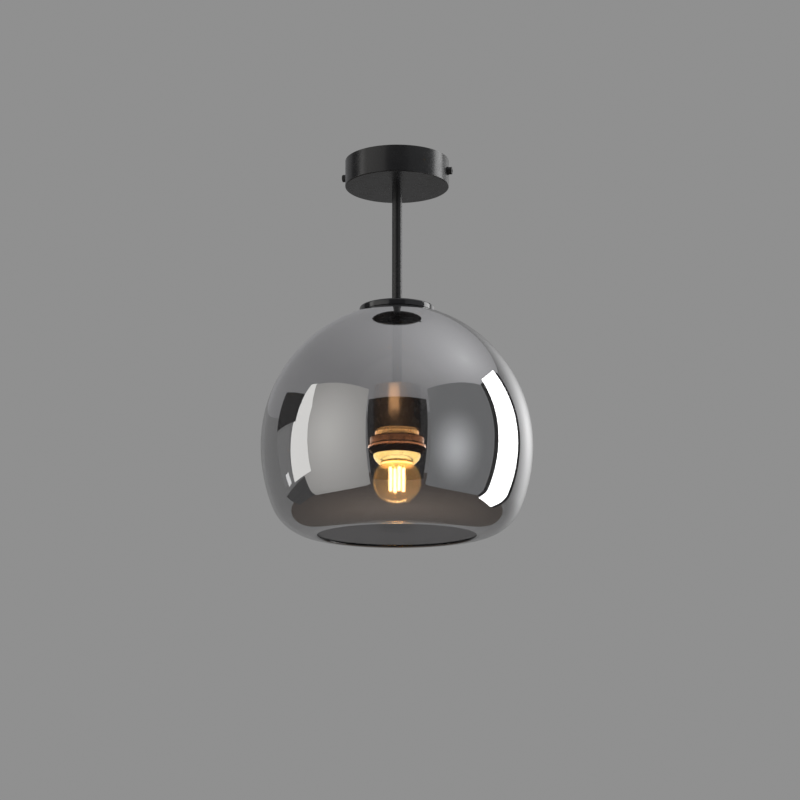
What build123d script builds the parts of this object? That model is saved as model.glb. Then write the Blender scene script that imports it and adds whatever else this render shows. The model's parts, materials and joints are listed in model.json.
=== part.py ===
from build123d import *
from math import acos, asin, cos, degrees, pi, radians, sin, sqrt, tan
import os

# Semi flush ceiling light: a canopy on the ceiling, a stiff stem, an open smoked glass globe clamped
# under a round cap, and a lampholder with a small globe bulb inside it.
# Millimetres. The ceiling is the plane z = 0, the lamp hangs down along -Z, and the two side screws
# of the canopy lie along X.

# ---- Ceiling canopy and its bracket -------------------------------------------------------------
canopy_diameter = 98.0
canopy_height = 25.4
canopy_wall = 1.2
canopy_edge_radius = 1.1        # rounding where the side wall meets the underside
bracket_width = 20.0
bracket_thickness = 1.5
bracket_bend_radius = 2.0       # outside of the two bends
bracket_ear_margin = 6.5        # ear below the axis of the side screws
bracket_wall_gap = 0.4          # ear corners to the canopy wall
slot_spacing = 60.0             # between the two slots for ceiling screws
slot_length = 14.0
slot_width = 4.5
cable_hole_diameter = 12.0      # supply cable, through the middle of the bracket
tab_width = 20.0                # side tab that carries the terminal block
tab_reach = 33.0                # from the lamp axis
tab_overlap = 2.0               # into the strap

# ---- Side screws of the canopy ------------------------------------------------------------------
side_screw_diameter = 3.9
side_screw_drop = 12.7          # below the ceiling
side_screw_length = 10.0        # under the head
side_screw_head_diameter = 7.0
side_screw_head_height = 3.2
side_screw_socket_diameter = 3.0
side_screw_socket_depth = 1.6
side_washer_diameter = 8.0
side_washer_thickness = 0.8
knurl_ridges = 24
knurl_depth = 0.25
screw_bevel = 0.4               # ends and head edges of the screws

# ---- Terminal block and earth -------------------------------------------------------------------
block_width = 25.0              # along X, three ways
block_depth = 16.0              # along Y
block_height = 12.0
terminal_pitch = 8.0
terminal_bore = 3.2
terminal_sleeve_diameter = 5.0
terminal_sleeve_inset = 1.0     # sleeve ends inside the block
terminal_screw_sink = 0.8       # screw heads inside the block
block_corner_radius = 1.0
block_screw_diameter = 3.0
earth_screw_x = 15.5
earth_screw_diameter = 4.0
earth_tag_thickness = 0.8
earth_barrel_wall = 0.6
earth_barrel_length = 4.0
earth_wire_seat = 1.5           # its end inside the barrel
earth_wire_lead = 2.4           # straight wire outside the barrel

# ---- Stem ---------------------------------------------------------------------------------------
rod_diameter = 9.5
rod_wall = 0.7
upper_rod_length = 117.0        # canopy to glass cap
lower_rod_length = 63.6         # clamp nut to holder cup
nipple_wall = 1.1               # hollow threaded tubes that join the stem
nipple_reach = 11.0             # into each rod
nipple_stand_off = 2.0          # past the nut at a free end
nut_width = 13.0                # across flats
nut_height = 4.0
nut_bevel = 0.5
washer_diameter = 18.0
washer_thickness = 1.2

# ---- Glass cap, gaskets and glass ---------------------------------------------------------------
cap_diameter = 70.0
cap_height = 5.6
cap_wall = 1.0
cap_edge_radius = 1.6
cap_lip = 1.2                   # width of the rim that comes down beside the gasket
cap_rim_gap = 0.2               # rim to the glass
gasket_thickness = 0.8
gasket_inner_diameter = 39.0
glass_diameter = 250.0
glass_wall = 2.8
glass_hole_diameter = 30.0
glass_top_overhang = 6.5        # centre of the dome's arc beyond the lamp axis
glass_side_radius = 153.0       # below the widest ring
glass_side_drop = 56.7          # height of that arc
glass_foot_radius = 43.5        # where the wall turns in to the mouth
clamp_diameter = 46.0
clamp_thickness = 1.5
clamp_gasket_edge = 1.0         # thickness of the soft ring at its outer edge

# ---- Holder cup, brass skirt and rings ----------------------------------------------------------
cup_diameter = 44.0
cup_height = 41.0
cup_wall = 1.0
cup_edge_radius = 1.0
skirt_wall = 1.1
skirt_engagement = 14.3         # inside the cup, above the collar
skirt_groove = 1.3              # shadow gap between cup and collar
collar_step = 1.2               # collar beyond the skirt's thread
collar_height = 5.7
collar_lip = 0.9                # bright edge at the top of the collar
collar_bevel = 0.3
groove_depth = 0.6
groove_above_cup_edge = 0.5
ring_bevel = 0.6
ring_shoulder_diameter = 49.6
ring_rim_diameter = 53.0
ring_height = 15.9
ring_shoulder_height = 6.8
ring_rim_height = 2.9
nose_top_diameter = 44.0
nose_height = 8.7
nose_wall = 0.7
nose_bulge = 0.9                # swell of its side beyond a straight cone
nose_thread_wall = 2.72         # outside of the nose ring's thread
nose_thread_depth = 3.6

# ---- Lampholder insert --------------------------------------------------------------------------
wire_room = 18.0                # from the nipple down to the floor of the insert's upper recess
recess_diameter = 34.0
shell_bore = 26.9               # brass screw shell, the bulb cap runs in it
shell_wall = 0.5
shell_short_of_cap = 1.5        # shell ends above the rim of the bulb cap
shell_flange_bore = 17.2
contact_thickness = 0.4
contact_width = 5.0
contact_drop = 1.8              # how far the spring contact bends down
terminal_cube = 6.0
terminal_cube_height = 7.0
terminal_cube_x = 8.5
clamp_screw_diameter = 3.0
clamp_screw_head_height = 1.8
rivet_diameter = 2.2
rivet_head_diameter = 3.6
rivet_head_height = 0.5

# ---- Bulb ---------------------------------------------------------------------------------------
bulb_diameter = 44.0
bulb_neck_diameter = 24.8
bulb_neck_fillet = 6.5
bulb_neck_straight = 3.5        # below the rim of its cap
bulb_glass_wall = 0.8
bulb_cap_length = 26.0          # tip of the contact to the rim
bulb_cap_diameter = 26.2
bulb_cap_wall = 0.35
bulb_cap_above_mouth = 8.6      # rim of the bulb cap above the mouth of the nose ring
thread_pitch = 3.629            # seven turns to the inch
thread_depth = 0.9
thread_turns = 4
bulb_cap_plain_rim = 5.0        # below the thread
eyelet_diameter = 9.4
eyelet_height = 1.8
filament_count = 4
filament_diameter = 2.2
filament_length = 26.0
filament_circle = 12.5
filament_turn = 31.4             # the first filament round from the X axis, in degrees
stem_glass_diameter = 5.2
lead_wire_diameter = 0.7

# ---- Wires --------------------------------------------------------------------------------------
wire_diameter = 1.9
wire_pair_offset = 1.1          # each wire from the lamp axis inside the stem

# ---- Fits ---------------------------------------------------------------------------------------
running_fit = 0.08              # radial, a screw in its threaded hole
screw_clearance = 0.2           # radial, a screw through a plain hole
moving_gap = 0.1                # between faces of bodies that move apart
seat_gap = 0.02                 # curved faces that sit on each other
wall_clearance = 0.1            # radial, a sleeve inside a sleeve
nipple_fit = 0.05               # radial, a nipple in its rod
mouth_clearance = 0.6           # bulb to the mouth of the nose ring
contact_gap = 0.3               # bulb contact to the holder's spring contact

# ---- Levels, from the ceiling down ---------------------------------------------------------------
canopy_radius = canopy_diameter / 2
canopy_floor = -canopy_height + canopy_wall
rod_radius = rod_diameter / 2
rod_bore_radius = rod_radius - rod_wall
nipple_radius = rod_bore_radius - nipple_fit
nipple_bore_radius = nipple_radius - nipple_wall
nipple_hole_radius = nipple_radius + wall_clearance
canopy_nipple_top = canopy_floor + washer_thickness + nut_height + nipple_stand_off
cap_top = -canopy_height - upper_rod_length
cap_rim = cap_top - cap_height
cap_radius = cap_diameter / 2

glass_radius = glass_diameter / 2
glass_hole_radius = glass_hole_diameter / 2
dome_radius = glass_radius + glass_top_overhang
dome_centre = glass_radius - dome_radius


def dome_rise(arc_radius, distance):
    """Height of a dome arc above the widest ring, at a distance from the lamp axis."""
    return sqrt(arc_radius ** 2 - (distance - dome_centre) ** 2)


glass_widest = cap_rim - cap_rim_gap - dome_rise(dome_radius, cap_radius - cap_lip)
side_angle = asin(glass_side_drop / glass_side_radius)
foot_centre_r = glass_radius - glass_side_radius + (glass_side_radius - glass_foot_radius) * cos(side_angle)
foot_centre_z = glass_widest - (glass_side_radius - glass_foot_radius) * sin(side_angle)
glass_bottom = foot_centre_z - glass_foot_radius

inner_dome_radius = dome_radius - glass_wall
clamp_radius = clamp_diameter / 2
clamp_gasket_outer = clamp_radius - 0.5
clamp_gasket_inner = glass_hole_radius + 1.0
clamp_top = glass_widest + dome_rise(inner_dome_radius, clamp_gasket_outer) - clamp_gasket_edge
clamp_bottom = clamp_top - clamp_thickness
shade_nut_bottom = clamp_bottom - nut_height

cup_top = shade_nut_bottom - lower_rod_length
cup_bottom = cup_top - cup_height
cup_radius = cup_diameter / 2
cup_bore_radius = cup_radius - cup_wall
cup_ceiling = cup_top - cup_wall
holder_nut_bottom = cup_ceiling - nut_height
holder_nipple_bottom = holder_nut_bottom - nipple_stand_off
insert_floor = holder_nipple_bottom - wire_room

collar_top = cup_bottom - skirt_groove
collar_bottom = collar_top - collar_height
skirt_top = collar_top + skirt_engagement
skirt_thread_radius = nose_top_diameter / 2 - nose_thread_wall - running_fit
collar_radius = skirt_thread_radius + collar_step
skirt_bore_radius = skirt_thread_radius - skirt_wall
spigot_radius = cup_bore_radius - wall_clearance
ring_top = collar_bottom - seat_gap
ring_bottom = ring_top - ring_height
nose_top = ring_bottom - seat_gap
nose_bottom = nose_top - nose_height
skirt_bottom = nose_top - nose_thread_depth

bulb_cap_rim = nose_bottom + bulb_cap_above_mouth
bulb_tip = bulb_cap_rim + bulb_cap_length
web_bottom = bulb_tip + contact_gap + contact_drop + contact_thickness
shell_bottom = bulb_cap_rim + shell_short_of_cap
insert_bottom = shell_bottom - 0.5
shell_bore_radius = shell_bore / 2
shell_radius = shell_bore_radius + shell_wall
insert_bore_radius = shell_radius + wall_clearance
insert_stem_radius = skirt_bore_radius - wall_clearance
insert_head_radius = spigot_radius

bulb_radius = bulb_diameter / 2
bulb_neck_radius = bulb_neck_diameter / 2
bulb_cap_radius = bulb_cap_diameter / 2
fillet_centre_r = bulb_neck_radius + bulb_neck_fillet
fillet_centre_z = bulb_cap_rim - bulb_neck_straight
bulb_reach = bulb_radius + bulb_neck_fillet
bulb_centre = fillet_centre_z - sqrt(bulb_reach ** 2 - fillet_centre_r ** 2)
bulb_bottom = bulb_centre - bulb_radius
glass_neck_top = bulb_cap_rim + 3.0
filament_middle = bulb_centre + 1.6
filament_top = filament_middle + filament_length / 2
filament_bottom = filament_middle - filament_length / 2


# ---- Helpers -------------------------------------------------------------------------------------
def turned(edges):
    """Closed outline of (radius, height) edges, turned about the lamp axis."""
    return revolve(Plane.XZ * make_face(edges), Axis.Z)


def turned_polygon(*points):
    """Straight-sided outline turned about the lamp axis."""
    return turned(Polyline(*points, close=True).edges())


def tube(outer, inner, low, high):
    """Plain sleeve about the lamp axis."""
    return turned_polygon((inner, low), (outer, low), (outer, high), (inner, high))


def disc(radius, low, high):
    """Plain round piece about the lamp axis."""
    return Pos(0, 0, low) * Cylinder(radius, high - low, align=(Align.CENTER, Align.CENTER, Align.MIN))


def arc(centre_r, centre_z, radius, start, end):
    """Arc of an outline, angles in radians from the outward direction."""
    return CenterArc((centre_r, centre_z), radius, degrees(start), degrees(end - start))


def box_at(x, y, low, high, length, width):
    """Upright box centred on (x, y) between two levels."""
    return Pos(x, y, (low + high) / 2) * Box(length, width, high - low)


def hex_nut(low, height, bore_radius):
    """Hexagon nut about the lamp axis with its top and bottom corners turned off."""
    body = Pos(0, 0, low) * extrude(RegularPolygon(nut_width / 2, 6, major_radius=False), height)
    corner_radius = nut_width / sqrt(3)
    limit = turned_polygon(
        (0, low), (corner_radius - nut_bevel, low), (corner_radius, low + nut_bevel),
        (corner_radius, low + height - nut_bevel), (corner_radius - nut_bevel, low + height), (0, low + height),
    )
    return (body & limit) - disc(bore_radius, low - 1, low + height + 1)


def wire(points):
    """Round wire along straight runs joined by the largest tangent arcs that they allow."""
    runs = [Vector(*b) - Vector(*a) for a, b in zip(points, points[1:])]
    radii = []
    for before, after in zip(runs, runs[1:]):
        half_turn = before.get_angle(after) * pi / 360
        radii.append(0.45 * min(before.length, after.length) / tan(half_turn))
    path = FilletPolyline(*points, radius=radii)
    print("wire radii", [round(radius, 1) for radius in radii], "length", round(path.length, 1))
    section = Plane(points[0], z_dir=runs[0]) * Circle(wire_diameter / 2)
    solid = sweep(section, path)
    print("  volume over section x length", round(solid.volume / (section.area * path.length), 4))
    return solid


# ---- Canopy, bracket and wiring ------------------------------------------------------------------
ear_outer = sqrt((canopy_radius - canopy_wall) ** 2 - (bracket_width / 2) ** 2) - bracket_wall_gap
ear_bottom = -side_screw_drop - bracket_ear_margin
side_screw_radius = side_screw_diameter / 2


def across(radius, x_from, x_to):
    """Round bar along X at the height of the side screws."""
    bar = Cylinder(radius, abs(x_to - x_from))
    return Pos((x_from + x_to) / 2, 0, -side_screw_drop) * Rot(0, 90, 0) * bar


def make_bracket():
    """Strap on the ceiling with two ears bent down and a side tab for the terminal block."""
    outline = Polyline(
        (-ear_outer, ear_bottom), (-ear_outer, 0), (ear_outer, 0), (ear_outer, ear_bottom),
        (ear_outer - bracket_thickness, ear_bottom), (ear_outer - bracket_thickness, -bracket_thickness),
        (bracket_thickness - ear_outer, -bracket_thickness), (bracket_thickness - ear_outer, ear_bottom),
        close=True,
    )
    face = make_face(outline.edges())
    bends = face.vertices().filter_by(lambda v: abs(v.Y) < 0.1)
    face = fillet(bends, bracket_bend_radius)
    strap = extrude(Plane.XZ * face, bracket_width / 2, both=True)
    tab_root = bracket_width / 2 - tab_overlap
    strap += box_at(0, (tab_root + tab_reach) / 2, -bracket_thickness, 0, tab_width, tab_reach - tab_root)
    strap -= disc(cable_hole_diameter / 2, -bracket_thickness - 1, 1)
    hole_reach = bracket_thickness * 2
    for side in (-1, 1):
        slot = Pos(side * slot_spacing / 2, 0, -bracket_thickness - 1) * SlotOverall(slot_length, slot_width)
        strap -= extrude(slot, bracket_thickness + 2)
        strap -= across(side_screw_radius + running_fit, side * (ear_outer - hole_reach), side * (ear_outer + hole_reach))
    earth_hole = Cylinder(earth_screw_diameter / 2, bracket_thickness * 2)
    strap -= Pos(earth_screw_x, 0, -bracket_thickness / 2) * earth_hole
    tab_hole = Cylinder(block_screw_diameter / 2, bracket_thickness * 2)
    strap -= Pos(block_screw_x, block_middle, -bracket_thickness / 2) * tab_hole
    return strap


def make_canopy():
    """Round cup, open to the ceiling, with a hole for the stem and two for the side screws."""
    inner = canopy_radius - canopy_wall
    inner_edge = canopy_edge_radius / 2
    outline = Polyline(
        (nipple_hole_radius, -canopy_height), (canopy_radius, -canopy_height), (canopy_radius, 0),
        (inner, 0), (inner, canopy_floor), (nipple_hole_radius, canopy_floor),
        close=True,
    )
    face = make_face(outline.edges())
    lower_corner = face.vertices().sort_by_distance((canopy_radius, -canopy_height))[0]
    face = fillet(lower_corner, canopy_edge_radius)
    upper_corner = face.vertices().sort_by_distance((inner, canopy_floor))[0]
    face = fillet(upper_corner, inner_edge)
    cup = revolve(Plane.XZ * face, Axis.Z)
    reach = canopy_radius + 2
    return cup - across(side_screw_radius + screw_clearance, -reach, reach)


head_inner = canopy_radius + moving_gap + side_washer_thickness + moving_gap


def make_side_screw(side):
    """Knurled head with a hexagon socket, on a plain shank."""
    head_radius = side_screw_head_diameter / 2
    head = Cylinder(head_radius, side_screw_head_height, align=(Align.CENTER, Align.CENTER, Align.MIN))
    head = chamfer(head.edges().filter_by(GeomType.CIRCLE).group_by(Axis.Z)[-1], screw_bevel)
    groove = Cylinder(knurl_depth, side_screw_head_height + 2)
    groove = Pos(head_radius, 0, side_screw_head_height / 2) * groove
    for index in range(knurl_ridges):
        head -= Rot(0, 0, index * 360 / knurl_ridges) * groove
    socket = RegularPolygon(side_screw_socket_diameter / 2, 6)
    socket_floor = side_screw_head_height - side_screw_socket_depth
    head -= extrude(Pos(0, 0, socket_floor) * socket, side_screw_socket_depth + 1)
    shank = Pos(0, 0, -side_screw_length) * Cylinder(
        side_screw_radius, side_screw_length, align=(Align.CENTER, Align.CENTER, Align.MIN)
    )
    shank = chamfer(shank.edges().filter_by(GeomType.CIRCLE).group_by(Axis.Z)[0], screw_bevel)
    return Pos(side * head_inner, 0, -side_screw_drop) * Rot(0, 90 * side, 0) * (head + shank)


def make_side_washer(side):
    """Plain washer between the head of a side screw and the canopy wall."""
    x_from = side * (canopy_radius + moving_gap)
    x_to = side * (canopy_radius + moving_gap + side_washer_thickness)
    washer = across(side_washer_diameter / 2, x_from, x_to)
    return washer - across(side_screw_radius + running_fit, x_from - side, x_to + side)


block_screw_x = terminal_pitch / 2
block_middle = tab_reach - block_depth / 2 - 1
block_near = block_middle - block_depth / 2
block_top = -bracket_thickness
block_bottom = block_top - block_height
terminal_level = (block_top + block_bottom) / 2
terminal_xs = [-terminal_pitch, 0.0, terminal_pitch]
terminal_screw_ys = [-block_depth / 4, block_depth / 4]
terminal_screw_radius = terminal_bore / 2 - 0.3
sleeve_radius = terminal_sleeve_diameter / 2


def along_y(radius, x, y_from, y_to, level):
    """Round bar along Y."""
    return Pos(x, (y_from + y_to) / 2, level) * Rot(90, 0, 0) * Cylinder(radius, abs(y_to - y_from))


def make_terminal_block():
    """Plastic block with three ways, screw shafts from below and a screw to the tab."""
    block = box_at(0, block_middle, block_bottom, block_top, block_width, block_depth)
    block = fillet(block.edges().filter_by(Axis.Z), block_corner_radius)
    for x in terminal_xs:
        block -= along_y(sleeve_radius, x, block_near - 1, block_near + block_depth + 1, terminal_level)
        for y in terminal_screw_ys:
            shaft = Cylinder(terminal_screw_radius + screw_clearance, terminal_level - block_bottom + 1)
            block -= Pos(x, block_middle + y, (terminal_level + block_bottom - 1) / 2) * shaft
    waist = Pos(block_screw_x, block_middle, (block_top + block_bottom) / 2)
    return block - waist * Cylinder(block_screw_diameter / 2 + screw_clearance / 2, block_height + 2)


def make_terminal_sleeves():
    """Three brass sleeves in the terminal block, tapped for their screws."""
    sleeves = []
    near = block_near + terminal_sleeve_inset
    far = block_near + block_depth - terminal_sleeve_inset
    for x in terminal_xs:
        sleeve = along_y(sleeve_radius, x, near, far, terminal_level)
        sleeve -= along_y(terminal_bore / 2, x, near - 1, far + 1, terminal_level)
        for y in terminal_screw_ys:
            hole = Cylinder(terminal_screw_radius, sleeve_radius + 1)
            sleeve -= Pos(x, block_middle + y, terminal_level - (sleeve_radius + 1) / 2) * hole
        sleeves.append(sleeve)
    return Compound(children=sleeves)


def make_terminal_screws():
    """Six slotted screws that clamp the wires in the terminal block."""
    screws = []
    tip = terminal_level - wire_diameter / 2 - 0.1
    head = block_bottom + terminal_screw_sink
    for x in terminal_xs:
        for y in terminal_screw_ys:
            body = Pos(x, block_middle + y, (tip + head) / 2) * Cylinder(terminal_screw_radius, tip - head)
            slot = box_at(x, block_middle + y, head - 1, head + 0.6, terminal_screw_radius * 3, 0.4)
            screws.append(body - slot)
    return Compound(children=screws)


def pan_screw(x, y, seat, shank_radius, shank_top, head_radius, head_height):
    """Slotted screw from below: the head hangs under the seat, the shank goes up."""
    head = pan_head(head_radius, head_height)
    shank = Cylinder(shank_radius, shank_top - seat, align=(Align.CENTER, Align.CENTER, Align.MIN))
    return Pos(x, y, seat) * (head + shank)


def pan_head(head_radius, head_height):
    """Pan head below z = 0, with a rounded lower edge and a slot."""
    head = Cylinder(head_radius, head_height, align=(Align.CENTER, Align.CENTER, Align.MAX))
    head = fillet(head.edges().filter_by(GeomType.CIRCLE).group_by(Axis.Z)[0], head_height * 0.4)
    slot = Pos(0, 0, -head_height) * Box(head_radius * 3, 0.7, head_height)
    return head - slot


earth_seat = -bracket_thickness - earth_tag_thickness


def make_earth_tag():
    """Ring tag of the earth wire, with a short barrel that the wire ends in."""
    ring = Pos(earth_screw_x, 0, earth_seat + earth_tag_thickness / 2)
    eye = Cylinder(earth_screw_diameter, earth_tag_thickness)
    tongue = Pos(0, earth_screw_diameter, 0) * Box(3.0, earth_screw_diameter, earth_tag_thickness)
    tag = ring * (eye + tongue - Cylinder(earth_screw_diameter / 2, earth_tag_thickness * 2))
    near = earth_barrel_near
    far = earth_barrel_far
    barrel = along_y(earth_barrel_radius, earth_screw_x, near, far, earth_barrel_level)
    bore_radius = wire_diameter / 2 + seat_gap
    bore = along_y(bore_radius, earth_screw_x, near + 1, far + 1, earth_barrel_level)
    return tag + barrel - bore


earth_barrel_radius = wire_diameter / 2 + earth_barrel_wall
earth_barrel_near = earth_screw_diameter + 1.5
earth_barrel_far = earth_barrel_near + earth_barrel_length
earth_barrel_level = -bracket_thickness - earth_barrel_radius - 0.1

wire_end = block_middle - 0.5
cube_top = insert_floor + terminal_cube_height
wire_bottom = cube_top - terminal_cube_height + 1.5
wire_spread_top = holder_nipple_bottom - 2.0
wire_spread_bottom = cube_top + 2.0


def make_supply_wire(side, terminal_x):
    """Insulated core from the terminal block, down the whole stem, to a terminal of the insert."""
    return wire([
        (terminal_x, wire_end, terminal_level),
        (terminal_x, block_near - 2, terminal_level + 0.2),
        (side * wire_pair_offset, 0, terminal_level),
        (side * wire_pair_offset, 0, wire_spread_top),
        (side * terminal_cube_x, 0, wire_spread_bottom),
        (side * terminal_cube_x, 0, wire_bottom),
    ])


def make_earth_wire():
    """Short core from the terminal block to the ring tag on the bracket."""
    return wire([
        (terminal_pitch, wire_end, terminal_level),
        (terminal_pitch, block_near - 2, terminal_level + 0.2),
        (earth_screw_x, earth_barrel_far + earth_wire_lead, earth_barrel_level),
        (earth_screw_x, earth_barrel_near + earth_wire_seat, earth_barrel_level),
    ])


# ---- Glass cap, gaskets, glass and clamp ----------------------------------------------------------
def dome_angle(arc_radius, distance):
    """Angle at which a dome arc stands at a distance from the lamp axis."""
    return acos((distance - dome_centre) / arc_radius)


def make_glass_cap():
    """Shallow turned cap whose underside follows the glass."""
    under_radius = dome_radius + gasket_thickness + seat_gap
    lip_radius = cap_radius - cap_lip
    under_level = cap_top - cap_wall
    flat_end = dome_centre + sqrt(under_radius ** 2 - (under_level - glass_widest) ** 2)
    lip_level = glass_widest + dome_rise(under_radius, lip_radius)
    edge = cap_edge_radius
    return turned([
        Line((nipple_hole_radius, under_level), (nipple_hole_radius, cap_top)),
        Line((nipple_hole_radius, cap_top), (cap_radius - edge, cap_top)),
        arc(cap_radius - edge, cap_top - edge, edge, pi / 2, 0),
        Line((cap_radius, cap_top - edge), (cap_radius, cap_rim)),
        Line((cap_radius, cap_rim), (lip_radius, cap_rim)),
        Line((lip_radius, cap_rim), (lip_radius, lip_level)),
        arc(dome_centre, glass_widest, under_radius, dome_angle(under_radius, lip_radius),
            dome_angle(under_radius, flat_end)),
        Line((flat_end, under_level), (nipple_hole_radius, under_level)),
    ])


def make_cap_gasket():
    """Flat rubber ring pressed to the curve between cap and glass."""
    inner = gasket_inner_diameter / 2
    outer = cap_radius - cap_lip - 2.0
    low = dome_radius + seat_gap
    high = dome_radius + gasket_thickness
    return turned([
        arc(dome_centre, glass_widest, low, dome_angle(low, inner), dome_angle(low, outer)),
        Line((outer, glass_widest + dome_rise(low, outer)), (outer, glass_widest + dome_rise(high, outer))),
        arc(dome_centre, glass_widest, high, dome_angle(high, outer), dome_angle(high, inner)),
        Line((inner, glass_widest + dome_rise(high, inner)), (inner, glass_widest + dome_rise(low, inner))),
    ])


def make_glass_shade():
    """Open globe of even wall: dome, side and turned-in foot, with a rounded rim at the mouth."""
    outer_start = dome_angle(dome_radius, glass_hole_radius)
    inner_start = dome_angle(inner_dome_radius, glass_hole_radius)
    side_centre = glass_radius - glass_side_radius
    side_inner = glass_side_radius - glass_wall
    foot_inner = glass_foot_radius - glass_wall
    rim_radius = glass_wall / 2
    outer_edge = glass_widest + dome_rise(dome_radius, glass_hole_radius)
    inner_edge = glass_widest + dome_rise(inner_dome_radius, glass_hole_radius)
    return turned([
        arc(dome_centre, glass_widest, dome_radius, outer_start, 0),
        arc(side_centre, glass_widest, glass_side_radius, 0, -side_angle),
        arc(foot_centre_r, foot_centre_z, glass_foot_radius, -side_angle, -pi / 2),
        arc(foot_centre_r, glass_bottom + rim_radius, rim_radius, -pi / 2, -3 * pi / 2),
        arc(foot_centre_r, foot_centre_z, foot_inner, -pi / 2, -side_angle),
        arc(side_centre, glass_widest, side_inner, -side_angle, 0),
        arc(dome_centre, glass_widest, inner_dome_radius, 0, inner_start),
        Line((glass_hole_radius, inner_edge), (glass_hole_radius, outer_edge)),
    ])


def make_clamp_gasket():
    """Soft ring under the glass, curved on top and flat below."""
    high = inner_dome_radius - seat_gap
    outer = clamp_gasket_outer
    inner = clamp_gasket_inner
    return turned([
        Line((inner, clamp_top), (outer, clamp_top)),
        Line((outer, clamp_top), (outer, glass_widest + dome_rise(high, outer))),
        arc(dome_centre, glass_widest, high, dome_angle(high, outer), dome_angle(high, inner)),
        Line((inner, glass_widest + dome_rise(high, inner)), (inner, clamp_top)),
    ])


def make_clamp_plate():
    """Steel disc that presses the glass up against the cap."""
    plate = tube(clamp_radius, nipple_hole_radius, clamp_bottom, clamp_top)
    return fillet(plate.edges().filter_by(GeomType.CIRCLE).sort_by(SortBy.RADIUS)[-2:], clamp_thickness * 0.3)


# ---- Holder cup, skirt and rings --------------------------------------------------------------------
def make_holder_cup():
    """Plain black cup, open downwards, hung on the nipple."""
    outline = Polyline(
        (nipple_hole_radius, cup_top), (cup_radius, cup_top), (cup_radius, cup_bottom),
        (cup_bore_radius, cup_bottom), (cup_bore_radius, cup_ceiling), (nipple_hole_radius, cup_ceiling),
        close=True,
    )
    face = make_face(outline.edges())
    corner = face.vertices().sort_by_distance((cup_radius, cup_top))[0]
    face = fillet(corner, cup_edge_radius)
    return revolve(Plane.XZ * face, Axis.Z)


def make_holder_skirt():
    """Brass skirt: a spigot in the cup, a groove, the bright collar and a long thread below."""
    collar_face = collar_radius - collar_bevel
    groove = collar_radius - groove_depth
    groove_top = cup_bottom + groove_above_cup_edge
    return turned_polygon(
        (skirt_bore_radius, skirt_bottom), (skirt_thread_radius, skirt_bottom),
        (skirt_thread_radius, collar_bottom), (collar_face, collar_bottom),
        (collar_face, collar_top - collar_lip), (collar_radius, collar_top - collar_lip + collar_bevel),
        (collar_radius, collar_top - collar_bevel), (collar_face, collar_top),
        (groove, collar_top), (groove, groove_top),
        (spigot_radius, groove_top), (spigot_radius, skirt_top), (skirt_bore_radius, skirt_top),
    )


def make_shade_ring():
    """Dark stepped ring screwed on the skirt: a shoulder, a lip and a cone below."""
    bore = skirt_thread_radius + running_fit
    shoulder = ring_shoulder_diameter / 2
    rim = ring_rim_diameter / 2
    nose = nose_top_diameter / 2
    shoulder_bottom = ring_top - ring_shoulder_height
    rim_top = shoulder_bottom - (rim - shoulder) / 2
    rim_bottom = rim_top - ring_rim_height
    return turned_polygon(
        (bore, ring_top), (shoulder - ring_bevel, ring_top), (shoulder, ring_top - ring_bevel),
        (shoulder, shoulder_bottom), (rim, rim_top), (rim, rim_bottom),
        (rim - ring_bevel, rim_bottom - ring_bevel / 2), (nose + ring_bevel, ring_bottom), (bore, ring_bottom),
    )


def bulb_radius_at(level):
    """Outer radius of the bulb at a level between its cap and the middle of its globe."""
    if level > fillet_centre_z:
        return bulb_neck_radius
    tangent_level = bulb_centre + bulb_radius * (fillet_centre_z - bulb_centre) / bulb_reach
    if level > tangent_level:
        return fillet_centre_r - sqrt(bulb_neck_fillet ** 2 - (level - fillet_centre_z) ** 2)
    return sqrt(bulb_radius ** 2 - (level - bulb_centre) ** 2)


def make_nose_ring():
    """Polished bowl-shaped ring, threaded on the end of the skirt, open below round the bulb."""
    bore = skirt_thread_radius + running_fit
    mouth = bulb_radius_at(nose_bottom) + mouth_clearance
    outer = nose_top_diameter / 2
    thread_end = skirt_bottom - 0.2
    lip = mouth + nose_wall
    inner_bulge = nose_bulge / 2
    outer_mid = ((outer + lip) / 2 + nose_bulge, (nose_top + nose_bottom) / 2 - nose_bulge)
    inner_mid = ((bore + mouth) / 2 + inner_bulge, (thread_end + nose_bottom) / 2 - inner_bulge)
    return turned([
        Line((bore, thread_end), (bore, nose_top)),
        Line((bore, nose_top), (outer, nose_top)),
        ThreePointArc((outer, nose_top), outer_mid, (lip, nose_bottom)),
        Line((lip, nose_bottom), (mouth, nose_bottom)),
        ThreePointArc((mouth, nose_bottom), inner_mid, (bore, thread_end)),
    ])


# ---- Lampholder insert ------------------------------------------------------------------------------
contact_rivet_x = -6.5
shell_rivet_x = (shell_flange_bore / 2 + shell_bore_radius) / 2 - 0.5
rivet_hole_radius = rivet_diameter / 2
cube_screw_level = (insert_floor + cube_top) / 2


def make_lampholder_body():
    """Ceramic insert: an upper recess for the wiring, a floor, and a deep bore for the screw shell."""
    recess = recess_diameter / 2
    insert_top = cup_ceiling - seat_gap
    shoulder = skirt_top + seat_gap
    body = turned_polygon(
        (0, insert_floor), (recess, insert_floor), (recess, insert_top), (insert_head_radius, insert_top),
        (insert_head_radius, shoulder), (insert_stem_radius, shoulder), (insert_stem_radius, insert_bottom),
        (insert_bore_radius, insert_bottom), (insert_bore_radius, web_bottom), (0, web_bottom),
    )
    for x in (contact_rivet_x, shell_rivet_x):
        middle = (insert_floor + web_bottom) / 2
        body -= Pos(x, 0, middle) * Cylinder(rivet_hole_radius, insert_floor - web_bottom + 2)
    return body


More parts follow.
